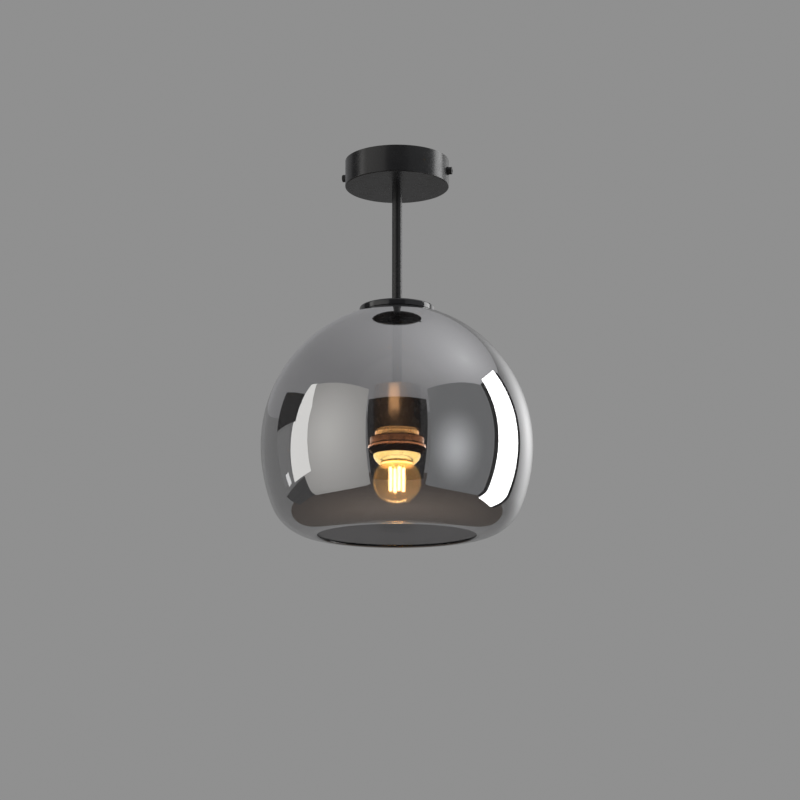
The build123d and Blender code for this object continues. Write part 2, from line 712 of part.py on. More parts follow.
def make_holder_terminals():
    """Two brass cubes on the floor of the insert, each bored for a wire and a clamp screw."""
    cubes = []
    for side in (-1, 1):
        x = side * terminal_cube_x
        cube = box_at(x, 0, insert_floor, cube_top, terminal_cube, terminal_cube)
        cube = chamfer(cube.edges().filter_by(Axis.Z), 0.4)
        wire_hole = Cylinder(wire_diameter / 2 + 0.1, cube_top - wire_bottom + 1.2)
        cube -= Pos(x, 0, (wire_bottom - 0.2 + cube_top + 1) / 2) * wire_hole
        screw_hole = Cylinder(clamp_screw_diameter / 2, terminal_cube / 2 + 1)
        cube -= Pos(x + side * (terminal_cube / 2 + 1) / 2, 0, cube_screw_level) * Rot(0, 90, 0) * screw_hole
        cubes.append(cube)
    return Compound(children=cubes)


def make_holder_terminal_screws():
    """Two slotted screws that press on the wires from the outer side of each cube."""
    screws = []
    for side in (-1, 1):
        tip = terminal_cube_x + wire_diameter / 2 + 0.1
        face = terminal_cube_x + terminal_cube / 2
        screw = pan_screw(
            0, 0, 0, clamp_screw_diameter / 2, face - tip,
            clamp_screw_diameter * 0.85, clamp_screw_head_height,
        )
        screws.append(Pos(side * face, 0, cube_screw_level) * Rot(0, -90 * side, 0) * screw)
    return Compound(children=screws)


def make_screw_shell():
    """Brass shell that the bulb screws into, with a flange riveted to the floor of the bore."""
    top = web_bottom - seat_gap
    flange_bore = shell_flange_bore / 2
    shell = turned_polygon(
        (flange_bore, top), (shell_radius, top), (shell_radius, shell_bottom),
        (shell_bore_radius, shell_bottom), (shell_bore_radius, top - shell_wall),
        (flange_bore, top - shell_wall),
    )
    return shell - Pos(shell_rivet_x, 0, top) * Cylinder(rivet_hole_radius, 4)


def make_centre_contact():
    """Spring strip that bends down to the tip of the bulb."""
    flat = web_bottom - seat_gap
    low = flat - contact_drop
    fixed_end = -shell_flange_bore / 2 + 0.9
    step = contact_rivet_x + rivet_head_diameter / 2 + 0.5
    reach = 2.6
    tail = 1.6
    thick = contact_thickness
    foot = step + contact_drop
    top_line = [(fixed_end, flat), (step, flat), (foot, low), (reach, low), (reach + tail, low + 0.8)]
    bottom_line = [(x, z - thick) for x, z in reversed(top_line)]
    face = make_face(Polyline(*top_line, *bottom_line, close=True).edges())
    strip = extrude(Plane.XZ * face, contact_width / 2, both=True)
    return strip - Pos(contact_rivet_x, 0, flat) * Cylinder(rivet_hole_radius, 4)


def make_rivets():
    """Two rivets through the insert: one carries the spring contact, one the screw shell."""
    rivets = []
    for x, plate in ((contact_rivet_x, contact_thickness), (shell_rivet_x, shell_wall)):
        head_top = web_bottom - seat_gap - plate
        shank = Cylinder(rivet_hole_radius, insert_floor - head_top)
        shank = Pos(x, 0, (head_top + insert_floor) / 2) * shank
        head = Cylinder(rivet_head_diameter / 2, rivet_head_height)
        head = Pos(x, 0, head_top - rivet_head_height / 2) * head
        rivets.append(shank + head)
    return Compound(children=rivets)


# ---- Bulb -------------------------------------------------------------------------------------------
thread_bottom = bulb_cap_rim + bulb_cap_plain_rim
thread_top = thread_bottom + thread_turns * thread_pitch
insulator_top = bulb_tip - eyelet_height
cap_shoulder_radius = bulb_cap_radius - thread_depth - 0.3


def cap_outline(inset):
    """Points down the bulb cap: a shoulder, rolled thread ridges and a plain rim, moved in by a wall."""
    crest = bulb_cap_radius - inset
    root = crest - thread_depth
    points = [(cap_shoulder_radius - inset, thread_top)]
    for turn in range(thread_turns):
        start = thread_top - turn * thread_pitch
        points.append((root, start - thread_pitch * 0.12))
        points.append((crest, start - thread_pitch * 0.42))
        points.append((crest, start - thread_pitch * 0.62))
        points.append((root, start - thread_pitch * 0.92))
    points.append((crest, thread_bottom - 0.6))
    points.append((crest, bulb_cap_rim))
    return points


def make_bulb_cap():
    """Thin nickelled cap with rolled ridges in place of its thread."""
    outside = cap_outline(0)
    inside = cap_outline(bulb_cap_wall)
    return turned_polygon(*outside, *reversed(inside))


def make_bulb_contact():
    """Round contact at the tip of the bulb, slightly domed."""
    radius = eyelet_diameter / 2
    rise = eyelet_height / 2
    dome = (radius ** 2 + rise ** 2) / (2 * rise)
    return turned([
        Line((0, insulator_top), (radius, insulator_top)),
        Line((radius, insulator_top), (radius, bulb_tip - rise)),
        arc(0, bulb_tip - dome, dome, acos(radius / dome), pi / 2),
        Line((0, bulb_tip), (0, insulator_top)),
    ])


def make_bulb_insulator():
    """Black glass between the contact and the cap."""
    top = insulator_top - moving_gap
    contact_radius = eyelet_diameter / 2
    skirt = cap_shoulder_radius - bulb_cap_wall
    seat = thread_top + seat_gap
    return turned_polygon(
        (0, top), (contact_radius + 0.6, top), (cap_shoulder_radius, seat + 0.5), (cap_shoulder_radius, seat),
        (skirt - 0.1, seat), (skirt - 0.1, seat - 1.0), (0, seat - 1.0),
    )


def make_bulb_glass():
    """Thin globe with a short neck that goes up into the cap."""
    wall = bulb_glass_wall
    tangent = asin((fillet_centre_z - bulb_centre) / bulb_reach)
    return turned([
        Line((bulb_neck_radius - wall, glass_neck_top), (bulb_neck_radius, glass_neck_top)),
        Line((bulb_neck_radius, glass_neck_top), (bulb_neck_radius, fillet_centre_z)),
        arc(fillet_centre_r, fillet_centre_z, bulb_neck_fillet, pi, pi + tangent),
        arc(0, bulb_centre, bulb_radius, tangent, -pi / 2),
        Line((0, bulb_bottom), (0, bulb_bottom + wall)),
        arc(0, bulb_centre, bulb_radius - wall, -pi / 2, tangent),
        arc(fillet_centre_r, fillet_centre_z, bulb_neck_fillet + wall, pi + tangent, pi),
        Line((bulb_neck_radius - wall, fillet_centre_z), (bulb_neck_radius - wall, glass_neck_top)),
    ])


stem_bottom = filament_top + 1.2
flare_top = glass_neck_top - 0.4
flare_radius = bulb_neck_radius - bulb_glass_wall - 0.05


def make_bulb_stem():
    """Glass stem: a flare that closes the neck and a rod that holds the lead wires."""
    rod = stem_glass_diameter / 2
    throat = flare_top - 6.0
    return turned([
        Line((0, flare_top), (flare_radius, flare_top)),
        Line((flare_radius, flare_top), (flare_radius, flare_top - 0.9)),
        ThreePointArc((flare_radius, flare_top - 0.9), (rod + 2.2, flare_top - 2.6), (rod, throat)),
        Line((rod, throat), (rod, stem_bottom + rod)),
        arc(0, stem_bottom + rod, rod, 0, -pi / 2),
        Line((0, stem_bottom), (0, flare_top)),
    ])


def filament_spots():
    """Places of the filaments round the lamp axis."""
    circle = filament_circle / 2
    turns = [radians(filament_turn) + 2 * pi * index / filament_count for index in range(filament_count)]
    return [(circle * cos(turn), circle * sin(turn), degrees(turn)) for turn in turns]


def make_filaments():
    """Upright coated filaments in a ring."""
    rods = []
    for x, y, _ in filament_spots():
        rod = Pos(x, y, filament_middle) * Cylinder(filament_diameter / 2, filament_length)
        rods.append(fillet(rod.edges().filter_by(GeomType.CIRCLE), filament_diameter * 0.3))
    return Compound(children=rods)


def make_lead_wires():
    """Spokes above and below the filaments, and the rod in the middle that carries the lower ones."""
    wire_radius = lead_wire_diameter / 2
    upper_level = filament_top + wire_radius
    lower_level = filament_bottom - wire_radius
    hub = Pos(0, 0, (stem_bottom + lower_level) / 2) * Cylinder(wire_radius, stem_bottom - lower_level)
    hub += Pos(0, 0, lower_level) * Sphere(wire_radius * 1.6)
    for x, y, angle in filament_spots():
        for level in (upper_level, lower_level):
            spoke = Cylinder(wire_radius, filament_circle / 2, align=(Align.CENTER, Align.CENTER, Align.MIN))
            hub += Pos(0, 0, level) * Rot(0, 0, angle) * Rot(0, 90, 0) * spoke
    return hub


driver_radius = bulb_cap_radius - thread_depth - bulb_cap_wall - 2.0
driver_top = thread_top - 2.0
driver_bottom = flare_top + 0.5


def make_bulb_driver():
    """Small round circuit board with its capacitor, inside the cap."""
    board = disc(driver_radius, driver_bottom, driver_bottom + 1.2)
    rest = 3.2
    part = Pos(driver_radius * 0.3, 0, driver_bottom + 1.2)
    height = (driver_top - driver_bottom - 1.2) * 0.8
    capacitor = part * Cylinder(rest, height, align=(Align.CENTER, Align.CENTER, Align.MIN))
    chip = box_at(-driver_radius * 0.55, 0, driver_bottom + 1.2, driver_bottom + 3.4, 3.0, 5.0)
    return board + capacitor + chip


# ---- Pieces -------------------------------------------------------------------------------------------
nut_bore_radius = nipple_radius + running_fit
washer_top = canopy_floor + washer_thickness


def nipple(low, high):
    """Hollow threaded tube on the lamp axis."""
    return tube(nipple_radius, nipple_bore_radius, low, high)


def rod(low, high):
    """Stiff tube of the stem."""
    return tube(rod_radius, rod_bore_radius, low, high)


pieces = {
    "mounting_bracket": make_bracket(),
    "ceiling_canopy": make_canopy(),
    "left_side_screw": make_side_screw(-1),
    "right_side_screw": make_side_screw(1),
    "left_screw_washer": make_side_washer(-1),
    "right_screw_washer": make_side_washer(1),
    "terminal_block": make_terminal_block(),
    "terminal_sleeves": make_terminal_sleeves(),
    "terminal_screws": make_terminal_screws(),
    "block_screw": pan_screw(block_screw_x, block_middle, block_bottom, block_screw_diameter / 2, -0.1,
                             block_screw_diameter * 0.9, 2.0),
    "earth_screw": pan_screw(earth_screw_x, 0, earth_seat, earth_screw_diameter / 2, -0.1,
                             earth_screw_diameter * 0.9, 2.4),
    "earth_tag": make_earth_tag(),
    "live_wire": make_supply_wire(-1, terminal_xs[0]),
    "neutral_wire": make_supply_wire(1, terminal_xs[1]),
    "earth_wire": make_earth_wire(),
    "canopy_nipple": nipple(-canopy_height - nipple_reach, canopy_nipple_top),
    "canopy_washer": tube(washer_diameter / 2, nipple_hole_radius, canopy_floor, washer_top),
    "canopy_nut": hex_nut(washer_top, nut_height, nut_bore_radius),
    "upper_rod": rod(cap_top, -canopy_height),
    "glass_cap": make_glass_cap(),
    "cap_gasket": make_cap_gasket(),
    "glass_shade": make_glass_shade(),
    "clamp_gasket": make_clamp_gasket(),
    "clamp_plate": make_clamp_plate(),
    "shade_nipple": nipple(shade_nut_bottom - nipple_reach, cap_top + nipple_reach),
    "shade_nut": hex_nut(shade_nut_bottom, nut_height, nut_bore_radius),
    "lower_rod": rod(cup_top, shade_nut_bottom),
    "holder_nipple": nipple(holder_nipple_bottom, cup_top + nipple_reach),
    "holder_nut": hex_nut(holder_nut_bottom, nut_height, nut_bore_radius),
    "holder_cup": make_holder_cup(),
    "holder_skirt": make_holder_skirt(),
    "shade_ring": make_shade_ring(),
    "nose_ring": make_nose_ring(),
    "lampholder_body": make_lampholder_body(),
    "holder_terminals": make_holder_terminals(),
    "holder_terminal_screws": make_holder_terminal_screws(),
    "screw_shell": make_screw_shell(),
    "centre_contact": make_centre_contact(),
    "contact_rivets": make_rivets(),
    "bulb_contact": make_bulb_contact(),
    "bulb_insulator": make_bulb_insulator(),
    "bulb_cap": make_bulb_cap(),
    "bulb_driver": make_bulb_driver(),
    "bulb_glass": make_bulb_glass(),
    "bulb_stem": make_bulb_stem(),
    "bulb_filaments": make_filaments(),
    "bulb_lead_wires": make_lead_wires(),
}

os.makedirs("parts", exist_ok=True)
for name, shape in pieces.items():
    export_step(shape, f"parts/{name}.step")
print(len(pieces), "pieces, lowest level", round(glass_bottom, 2), "bulb bottom", round(bulb_bottom, 2))
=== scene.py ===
"""Semi flush ceiling light: the finishes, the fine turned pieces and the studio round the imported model."""

import json
import logging
import math
from dataclasses import dataclass, field
from enum import Enum
from typing import ClassVar

import bmesh
import bpy
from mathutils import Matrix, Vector


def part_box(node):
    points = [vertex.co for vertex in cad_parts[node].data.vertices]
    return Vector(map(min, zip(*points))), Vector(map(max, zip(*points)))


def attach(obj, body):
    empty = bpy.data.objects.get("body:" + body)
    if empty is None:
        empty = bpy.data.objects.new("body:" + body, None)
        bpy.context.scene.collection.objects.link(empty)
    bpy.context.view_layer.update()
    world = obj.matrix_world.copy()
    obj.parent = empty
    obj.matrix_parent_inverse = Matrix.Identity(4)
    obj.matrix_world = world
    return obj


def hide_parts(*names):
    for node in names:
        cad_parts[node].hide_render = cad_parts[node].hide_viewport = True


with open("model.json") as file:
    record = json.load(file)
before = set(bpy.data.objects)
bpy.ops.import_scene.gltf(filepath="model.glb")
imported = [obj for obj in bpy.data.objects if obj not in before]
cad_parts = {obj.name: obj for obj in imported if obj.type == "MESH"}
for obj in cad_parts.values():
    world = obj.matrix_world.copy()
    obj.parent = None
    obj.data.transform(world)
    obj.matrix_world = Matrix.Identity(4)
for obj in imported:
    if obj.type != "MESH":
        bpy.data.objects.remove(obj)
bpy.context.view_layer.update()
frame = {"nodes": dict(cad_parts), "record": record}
NODES = frame["nodes"]
log = logging.getLogger("ceiling_light")

Triple = tuple[float, float, float]
Colour = Triple
Span = tuple[float, float]
Spot = tuple[float, float]
Socket = bpy.types.NodeSocket
MM = 0.001


# ---- Finishes -------------------------------------------------------------------------------------
@dataclass(frozen=True)
class Pattern:
    """A noise pattern: cells per metre, levels of finer noise, and its squeeze along X, Y and Z."""

    cells: float
    detail: float = 3.0
    squeeze: Triple = (1.0, 1.0, 1.0)


class Grain(Enum):
    """The small relief that a finish shows close up."""

    POWDER = Pattern(2600.0)
    TURNED = Pattern(900.0, squeeze=(0.04, 0.04, 6.0))
    ROLLED = Pattern(500.0, squeeze=(0.15, 3.0, 1.0))
    MOULDED = Pattern(1400.0)
    HAMMERED = Pattern(240.0, squeeze=(1.0, 1.0, 1.4))


class Rise(Enum):
    """How a mapped value goes from one end of its range to the other."""

    EVEN = "LINEAR"
    SMOOTH = "SMOOTHSTEP"


COLOUR_DRIFT = Pattern(38.0, 4.0)
SMUDGES = Pattern(130.0, 5.0)
FILM_MARKS = Pattern(22.0, 4.0)
GLASS_WAVES = Pattern(9.0, 2.0)
# The next pattern drives the painted glow on the bulb glass.
PAINTED_GLOW_DRIFT = Pattern(60.0)
GLOW_SPECKS = Pattern(700.0)
GLOW_DRIFT = Pattern(500.0)

# The middle of a noise pattern, which is stretched over the whole of its range.
NOISE_RANGE = (0.3, 0.7)
# Heights of the bump, in metres.
GRAIN_HEIGHT = 0.0002
WAVE_HEIGHT = 0.002
LEAST_ROUGHNESS = 0.02
COAT_ROUGHNESS = 0.08
GLOW_ROUGHNESS = 0.5
FILM_MARK_DEPTH = 0.012
# How pointed an edge is where its edge colour begins and where it is full, and how much of it shows then;
# that colour is wear on the black metals and a painted highlight on the dark bronze.
EDGE_POINTINESS = (0.53, 0.62)
EDGE_WEAR_AND_HIGHLIGHT = 0.35
# The shares of its strength between which a light wanders (the glass's painted glow, and the filaments' own
# light), and the share of its colour at its specks.
PAINTED_GLOW_RANGE = (0.8, 1.2)
GLOW_RANGE = (0.85, 1.1)
GLOW_DIP = 0.7
# Sockets that are found by number, because their names repeat.
MIX_FACTOR, MIX_FIRST, MIX_SECOND, MIX_RESULT = 0, 6, 7, 2
SHADER_FIRST, SHADER_SECOND = 1, 2


@dataclass(frozen=True)
class Look:
    """A named look, made once into a material that all its pieces share."""

    name: str
    family: ClassVar[str] = "look"

    def material(self) -> bpy.types.Material:
        """Build the material, or give back the one already built under this name.

        Returns:
            The node material.
        """
        title = f"{self.family}_{self.name}"
        made = bpy.data.materials.get(title)
        if made is None:
            made = bpy.data.materials.new(title)
            made.use_nodes = True
            self.paint(Nodes(made.node_tree))
        return made

    def paint(self, tree: "Nodes") -> None:
        """Set up the shader, which each family of looks does in its own way."""
        raise NotImplementedError


@dataclass(frozen=True)
class Finish(Look):
    """A surface finish on Object coordinates.

    Two colours drift into each other, the gloss wanders between two roughness values, and the grain
    gives the bump.
    """

    colour: Colour
    second: Colour
    roughness: float
    spread: float = 0.08
    metallic: float = 0.0
    grain: Grain = Grain.MOULDED
    bump: float = 0.05
    coat: float = 0.0
    wear_and_highlight: Colour | None = None
    specular: float = 0.5
    family: ClassVar[str] = "finish"

    def paint(self, tree: "Nodes") -> None:
        """Set up the drifting colour, the wandering gloss and the grain.

        Args:
            tree: The nodes of the new material.
        """
        tree.put("Metallic", self.metallic)
        tree.put("Specular IOR Level", self.specular)
        tree.put("Coat Weight", self.coat)
        tree.put("Coat Roughness", COAT_ROUGHNESS)
        colour = tree.blend(tree.noise(COLOUR_DRIFT), self.colour, self.second)
        # Edge colour: wear on the black metals, a painted pinkish gold highlight along the rims on the dark
        # bronze.
        if self.wear_and_highlight is not None:
            colour = tree.worn_and_highlit_edges(colour, self.wear_and_highlight)
        tree.drive("Base Color", colour)
        low = max(self.roughness - self.spread, LEAST_ROUGHNESS)
        tree.drive("Roughness", tree.spread(tree.noise(SMUDGES), low, self.roughness + self.spread))
        tree.drive("Normal", tree.bump(tree.noise(self.grain.value), self.bump, GRAIN_HEIGHT))


@dataclass(frozen=True)
class Glass(Look):
    """Clear or tinted glass, with a metal film on it where film is over 0, and a painted glow given off by
    the glass itself.
    """

    colour: Colour
    film: float = 0.0
    roughness: float = 0.0
    ior: float = 1.5
    shade: Colour = (0.8, 0.8, 0.8)
    waviness: float = 0.01
    painted_glow: float = 0.0
    painted_glow_colour: Colour = (1.0, 1.0, 1.0)
    painted_neck_glow: float = 0.0
    painted_neck_span: Span = (0.0, 1.0)
    family: ClassVar[str] = "glass"

    def paint(self, tree: "Nodes") -> None:
        """Set up the glass. Lamps shine through it, tinted with its shade.

        Args:
            tree: The nodes of the new material.
        """
        tree.put("Base Color", (*self.colour, 1.0))
        tree.put("Metallic", self.film)
        tree.put("Transmission Weight", 1.0)
        tree.put("IOR", self.ior)
        marks = tree.spread(tree.noise(FILM_MARKS), self.roughness, self.roughness + FILM_MARK_DEPTH)
        tree.drive("Roughness", marks)
        tree.drive("Normal", tree.bump(tree.noise(GLASS_WAVES), self.waviness, WAVE_HEIGHT))
        # Painted glow: the glass itself gives off light, evenly and more towards the bulb's neck, standing
        # in for the filaments' light inside it.
        if self.painted_glow > 0.0:
            tree.put("Emission Color", (*self.painted_glow_colour, 1.0))
            low, high = (self.painted_glow * share for share in PAINTED_GLOW_RANGE)
            drift = tree.spread(tree.noise(PAINTED_GLOW_DRIFT), low, high)
            tree.drive("Emission Strength", tree.add(drift, tree.climb(self.painted_neck_span, self.painted_neck_glow)))
        tree.let_lamps_through(self.shade)


@dataclass(frozen=True)
class Glow(Look):
    """A surface that gives light, a little uneven along its length."""

    colour: Colour
    strength: float
    family: ClassVar[str] = "glow"

    def paint(self, tree: "Nodes") -> None:
        """Set up the glow.

        Args:
            tree: The nodes of the new material.
        """
        dip = tuple(GLOW_DIP * part for part in self.colour)
        tree.drive("Base Color", tree.blend(tree.noise(GLOW_SPECKS), self.colour, dip))
        tree.put("Roughness", GLOW_ROUGHNESS)
        tree.put("Emission Color", (*self.colour, 1.0))
        low, high = (self.strength * share for share in GLOW_RANGE)
        tree.drive("Emission Strength", tree.spread(tree.noise(GLOW_DRIFT), low, high))


class Nodes:
    """A short hand for the node tree of one material."""

    def __init__(self, tree: bpy.types.NodeTree) -> None:
        """Keep the tree and its shader.

        Args:
            tree: The node tree of a new material.
        """
        self.tree = tree
        self.shader = tree.nodes["Principled BSDF"]
        self.out = tree.nodes["Material Output"]
        self.place = tree.nodes.new("ShaderNodeTexCoord").outputs["Object"]

    def link(self, source: Socket, target: Socket) -> None:
        """Join two sockets."""
        self.tree.links.new(source, target)

    def put(self, name: str, value: float | tuple[float, ...]) -> None:
        """Give an input of the shader a value."""
        self.shader.inputs[name].default_value = value

    def drive(self, name: str, source: Socket) -> None:
        """Let a socket drive an input of the shader."""
        self.link(source, self.shader.inputs[name])

    def noise(self, pattern: Pattern) -> Socket:
        """Add a noise pattern.

        Args:
            pattern: Its cells, its detail and its squeeze.

        Returns:
            The pattern, from 0 to 1.
        """
        mapping = self.tree.nodes.new("ShaderNodeMapping")
        mapping.inputs["Scale"].default_value = pattern.squeeze
        self.link(self.place, mapping.inputs["Vector"])
        node = self.tree.nodes.new("ShaderNodeTexNoise")
        node.inputs["Scale"].default_value = pattern.cells
        node.inputs["Detail"].default_value = pattern.detail
        self.link(mapping.outputs["Vector"], node.inputs["Vector"])
        return node.outputs["Fac"]

    def ramp(self, value: Socket, source: Span, target: Span, rise: Rise = Rise.EVEN) -> Socket:
        """Map one range on another; past its ends the value stays level.

        Args:
            value: The value.
            source: The range that it comes from.
            target: The range that it goes to.
            rise: How it goes from end to end.

        Returns:
            The mapped value.
        """
        node = self.tree.nodes.new("ShaderNodeMapRange")
        node.interpolation_type = rise.value
        for name, level in zip(("From Min", "From Max", "To Min", "To Max"), (*source, *target)):
            node.inputs[name].default_value = level
        self.link(value, node.inputs["Value"])
        return node.outputs["Result"]

    def spread(self, pattern: Socket, low: float, high: float) -> Socket:
        """Stretch the middle of a pattern, from 0 to 1, over a range."""
        return self.ramp(pattern, NOISE_RANGE, (low, high))

    def blend(self, pattern: Socket, first: Colour, second: Colour) -> Socket:
        """Mix two colours by a pattern.

        Args:
            pattern: A pattern from 0 to 1.
            first: Colour at 0.
            second: Colour at 1.

        Returns:
            The mixed colour.
        """
        node = add_colour_mix(self.tree)
        node.inputs[MIX_FIRST].default_value = (*first, 1.0)
        node.inputs[MIX_SECOND].default_value = (*second, 1.0)
        self.link(self.spread(pattern, 0.0, 1.0), node.inputs[MIX_FACTOR])
        return node.outputs[MIX_RESULT]

    def worn_and_highlit_edges(self, colour: Socket, edge_colour: Colour) -> Socket:
        """Let an edge colour show faintly along convex edges: wear on the black metals, a painted highlight
        on the dark bronze.

        Args:
            colour: The colour so far.
            edge_colour: The colour along the edges, bare metal on the black finishes and a painted pinkish
                gold highlight on the dark bronze.

        Returns:
            The colour with its edge colour mixed in.
        """
        shape = self.tree.nodes.new("ShaderNodeNewGeometry")
        edge_share = self.ramp(shape.outputs["Pointiness"], EDGE_POINTINESS, (0.0, EDGE_WEAR_AND_HIGHLIGHT))
        node = add_colour_mix(self.tree)
        node.inputs[MIX_SECOND].default_value = (*edge_colour, 1.0)
        self.link(colour, node.inputs[MIX_FIRST])
        self.link(edge_share, node.inputs[MIX_FACTOR])
        return node.outputs[MIX_RESULT]

    def bump(self, pattern: Socket, strength: float, distance: float) -> Socket:
        """Turn a pattern into a bump.

        Args:
            pattern: Height, from 0 to 1.
            strength: Share of the bump that shows.
            distance: Height of the bump in metres.

        Returns:
            The normal.
        """
        node = self.tree.nodes.new("ShaderNodeBump")
        node.inputs["Strength"].default_value = strength
        node.inputs["Distance"].default_value = distance
        self.link(pattern, node.inputs["Height"])
        return node.outputs["Normal"]

    def climb(self, span: Span, top: float) -> Socket:
        """Rise smoothly with height.

        Args:
            span: Lower and upper level in metres.
            top: Value at the upper level, where it is 0 at the lower one.

        Returns:
            The rising value.
        """
        parts = self.tree.nodes.new("ShaderNodeSeparateXYZ")
        self.link(self.place, parts.inputs["Vector"])
        return self.ramp(parts.outputs["Z"], span, (0.0, top), Rise.SMOOTH)

    def add(self, first: Socket, second: Socket) -> Socket:
        """Add two values.

        Args:
            first: One value.
            second: The other.

        Returns:
            Their sum.
        """
        node = self.tree.nodes.new("ShaderNodeMath")
        self.link(first, node.inputs[0])
        self.link(second, node.inputs[1])
        return node.outputs["Value"]

    def let_lamps_through(self, shade: Colour) -> None:
        """Make the surface clear for lamps, so that glass casts a light shadow.

        Args:
            shade: Colour of the light that gets through.
        """
        clear = self.tree.nodes.new("ShaderNodeBsdfTransparent")
        clear.inputs["Color"].default_value = (*shade, 1.0)
        path = self.tree.nodes.new("ShaderNodeLightPath")
        mix = self.tree.nodes.new("ShaderNodeMixShader")
        self.link(path.outputs["Is Shadow Ray"], mix.inputs["Fac"])
        self.link(self.shader.outputs["BSDF"], mix.inputs[SHADER_FIRST])
        self.link(clear.outputs["BSDF"], mix.inputs[SHADER_SECOND])
        self.link(mix.outputs["Shader"], self.out.inputs["Surface"])


def add_colour_mix(tree: bpy.types.NodeTree) -> bpy.types.Node:
    """Add a node that mixes two colours.

    Args:
        tree: The node tree of a material or of the world.

    Returns:
        The mix node.
    """
    node = tree.nodes.new("ShaderNodeMix")
    node.data_type = "RGBA"
    return node


FINISHES: dict[str, Look] = {look.name: look for look in (
    Finish("black_satin_metal", (0.016, 0.016, 0.018), (0.020, 0.020, 0.022), 0.26, 0.03,
           grain=Grain.POWDER, bump=0.012, wear_and_highlight=(0.05, 0.05, 0.05)),
    Finish("black_gloss_metal", (0.026, 0.026, 0.029), (0.032, 0.032, 0.035), 0.14, 0.04,
           grain=Grain.POWDER, bump=0.02, coat=0.4),
    Finish("zinc_steel", (0.42, 0.43, 0.45), (0.56, 0.56, 0.55), 0.38, 0.1, metallic=1.0,
           grain=Grain.ROLLED, bump=0.12),
    Finish("black_steel", (0.02, 0.02, 0.022), (0.035, 0.034, 0.034), 0.34, 0.08, metallic=0.6,
           grain=Grain.ROLLED, bump=0.08, wear_and_highlight=(0.12, 0.12, 0.12)),
    Finish("brass_plain", (0.62, 0.42, 0.17), (0.72, 0.50, 0.22), 0.28, 0.08, metallic=1.0,
           grain=Grain.TURNED, bump=0.08),
    Finish("brass_polished", (0.86, 0.66, 0.28), (0.97, 0.80, 0.44), 0.20, 0.05, metallic=1.0,
           grain=Grain.HAMMERED, bump=0.35),
    # Its pinkish gold edge colour is a painted highlight along the rims, not wear.
    Finish("dark_bronze", (0.16, 0.075, 0.035), (0.21, 0.10, 0.05), 0.24, 0.06, metallic=1.0,
           grain=Grain.TURNED, bump=0.05, wear_and_highlight=(0.62, 0.40, 0.24)),
    Finish("black_rubber", (0.012, 0.012, 0.012), (0.02, 0.02, 0.02), 0.72, 0.08, bump=0.25),
    Finish("white_ceramic", (0.78, 0.76, 0.72), (0.84, 0.82, 0.79), 0.22, 0.06, bump=0.04, coat=0.5),
    Finish("block_plastic", (0.74, 0.74, 0.72), (0.80, 0.80, 0.78), 0.42, 0.06, bump=0.12),
    Finish("nickel_plate", (0.62, 0.60, 0.56), (0.70, 0.68, 0.64), 0.22, 0.06, metallic=1.0,
           grain=Grain.TURNED, bump=0.04),
    Finish("circuit_board", (0.02, 0.13, 0.05), (0.03, 0.18, 0.07), 0.4, 0.06, bump=0.1),
    Finish("brown_insulation", (0.16, 0.06, 0.03), (0.19, 0.075, 0.04), 0.42, 0.05, bump=0.08),
    Finish("blue_insulation", (0.03, 0.12, 0.42), (0.04, 0.14, 0.48), 0.42, 0.05, bump=0.08),
    Finish("green_yellow_insulation", (0.10, 0.36, 0.05), (0.72, 0.66, 0.05), 0.42, 0.05, bump=0.08),
    Glass("smoked_mirror_glass", (0.90, 0.90, 0.91), film=0.47, shade=(0.62, 0.62, 0.62)),
    Glass("smoke_inside", (0.27, 0.26, 0.26), shade=(0.8, 0.8, 0.8)),
    # The bulb glass has a painted glow on it, strongest at its neck under the bowl.
    Glass("amber_glass", (0.98, 0.78, 0.46), roughness=0.19, shade=(0.98, 0.88, 0.7),
          waviness=0.004, painted_glow=0.20, painted_glow_colour=(1.0, 0.66, 0.30), painted_neck_glow=3.8,
          painted_neck_span=(-0.2935, -0.2905)),
    Glass("amber_inside", (0.98, 0.80, 0.50), shade=(0.98, 0.88, 0.7), waviness=0.004),
    Glass("clear_glass", (0.97, 0.97, 0.96), shade=(0.95, 0.95, 0.95)),
    Glow("filament_glow", (1.0, 0.74, 0.44), 210.0),
)}


def dress(thing: bpy.types.Object, *finishes: str) -> None:
    """Give a piece its finishes, one for each of its mesh's slots.

    Args:
        thing: The piece.
        finishes: Names in FINISHES; the first is the finish of the record's material slot.
    """
    if thing.data.materials:
        thing.data.materials.clear()
    for finish in finishes:
        thing.data.materials.append(FINISHES[finish].material())


# ---- Turned pieces --------------------------------------------------------------------------------
# Flats round a turned piece, and steps across a bevel.
FLATS = 128
BEVEL_STEPS = 3
# Angles over which an edge is bevelled, on a turned piece and on a bar, and shaded sharp.
SHARP_EDGE = math.radians(25)
SHARP_RIM = math.radians(60)
SHARP_SHADING = math.radians(32.0)
# Points closer than this are merged: round a turned piece, and where its outline closes. In millimetres.
POLE_GAP = 0.002
OUTLINE_GAP = 0.01
# The nodes that a finer piece stands for.
REFINED: set[str] = set()


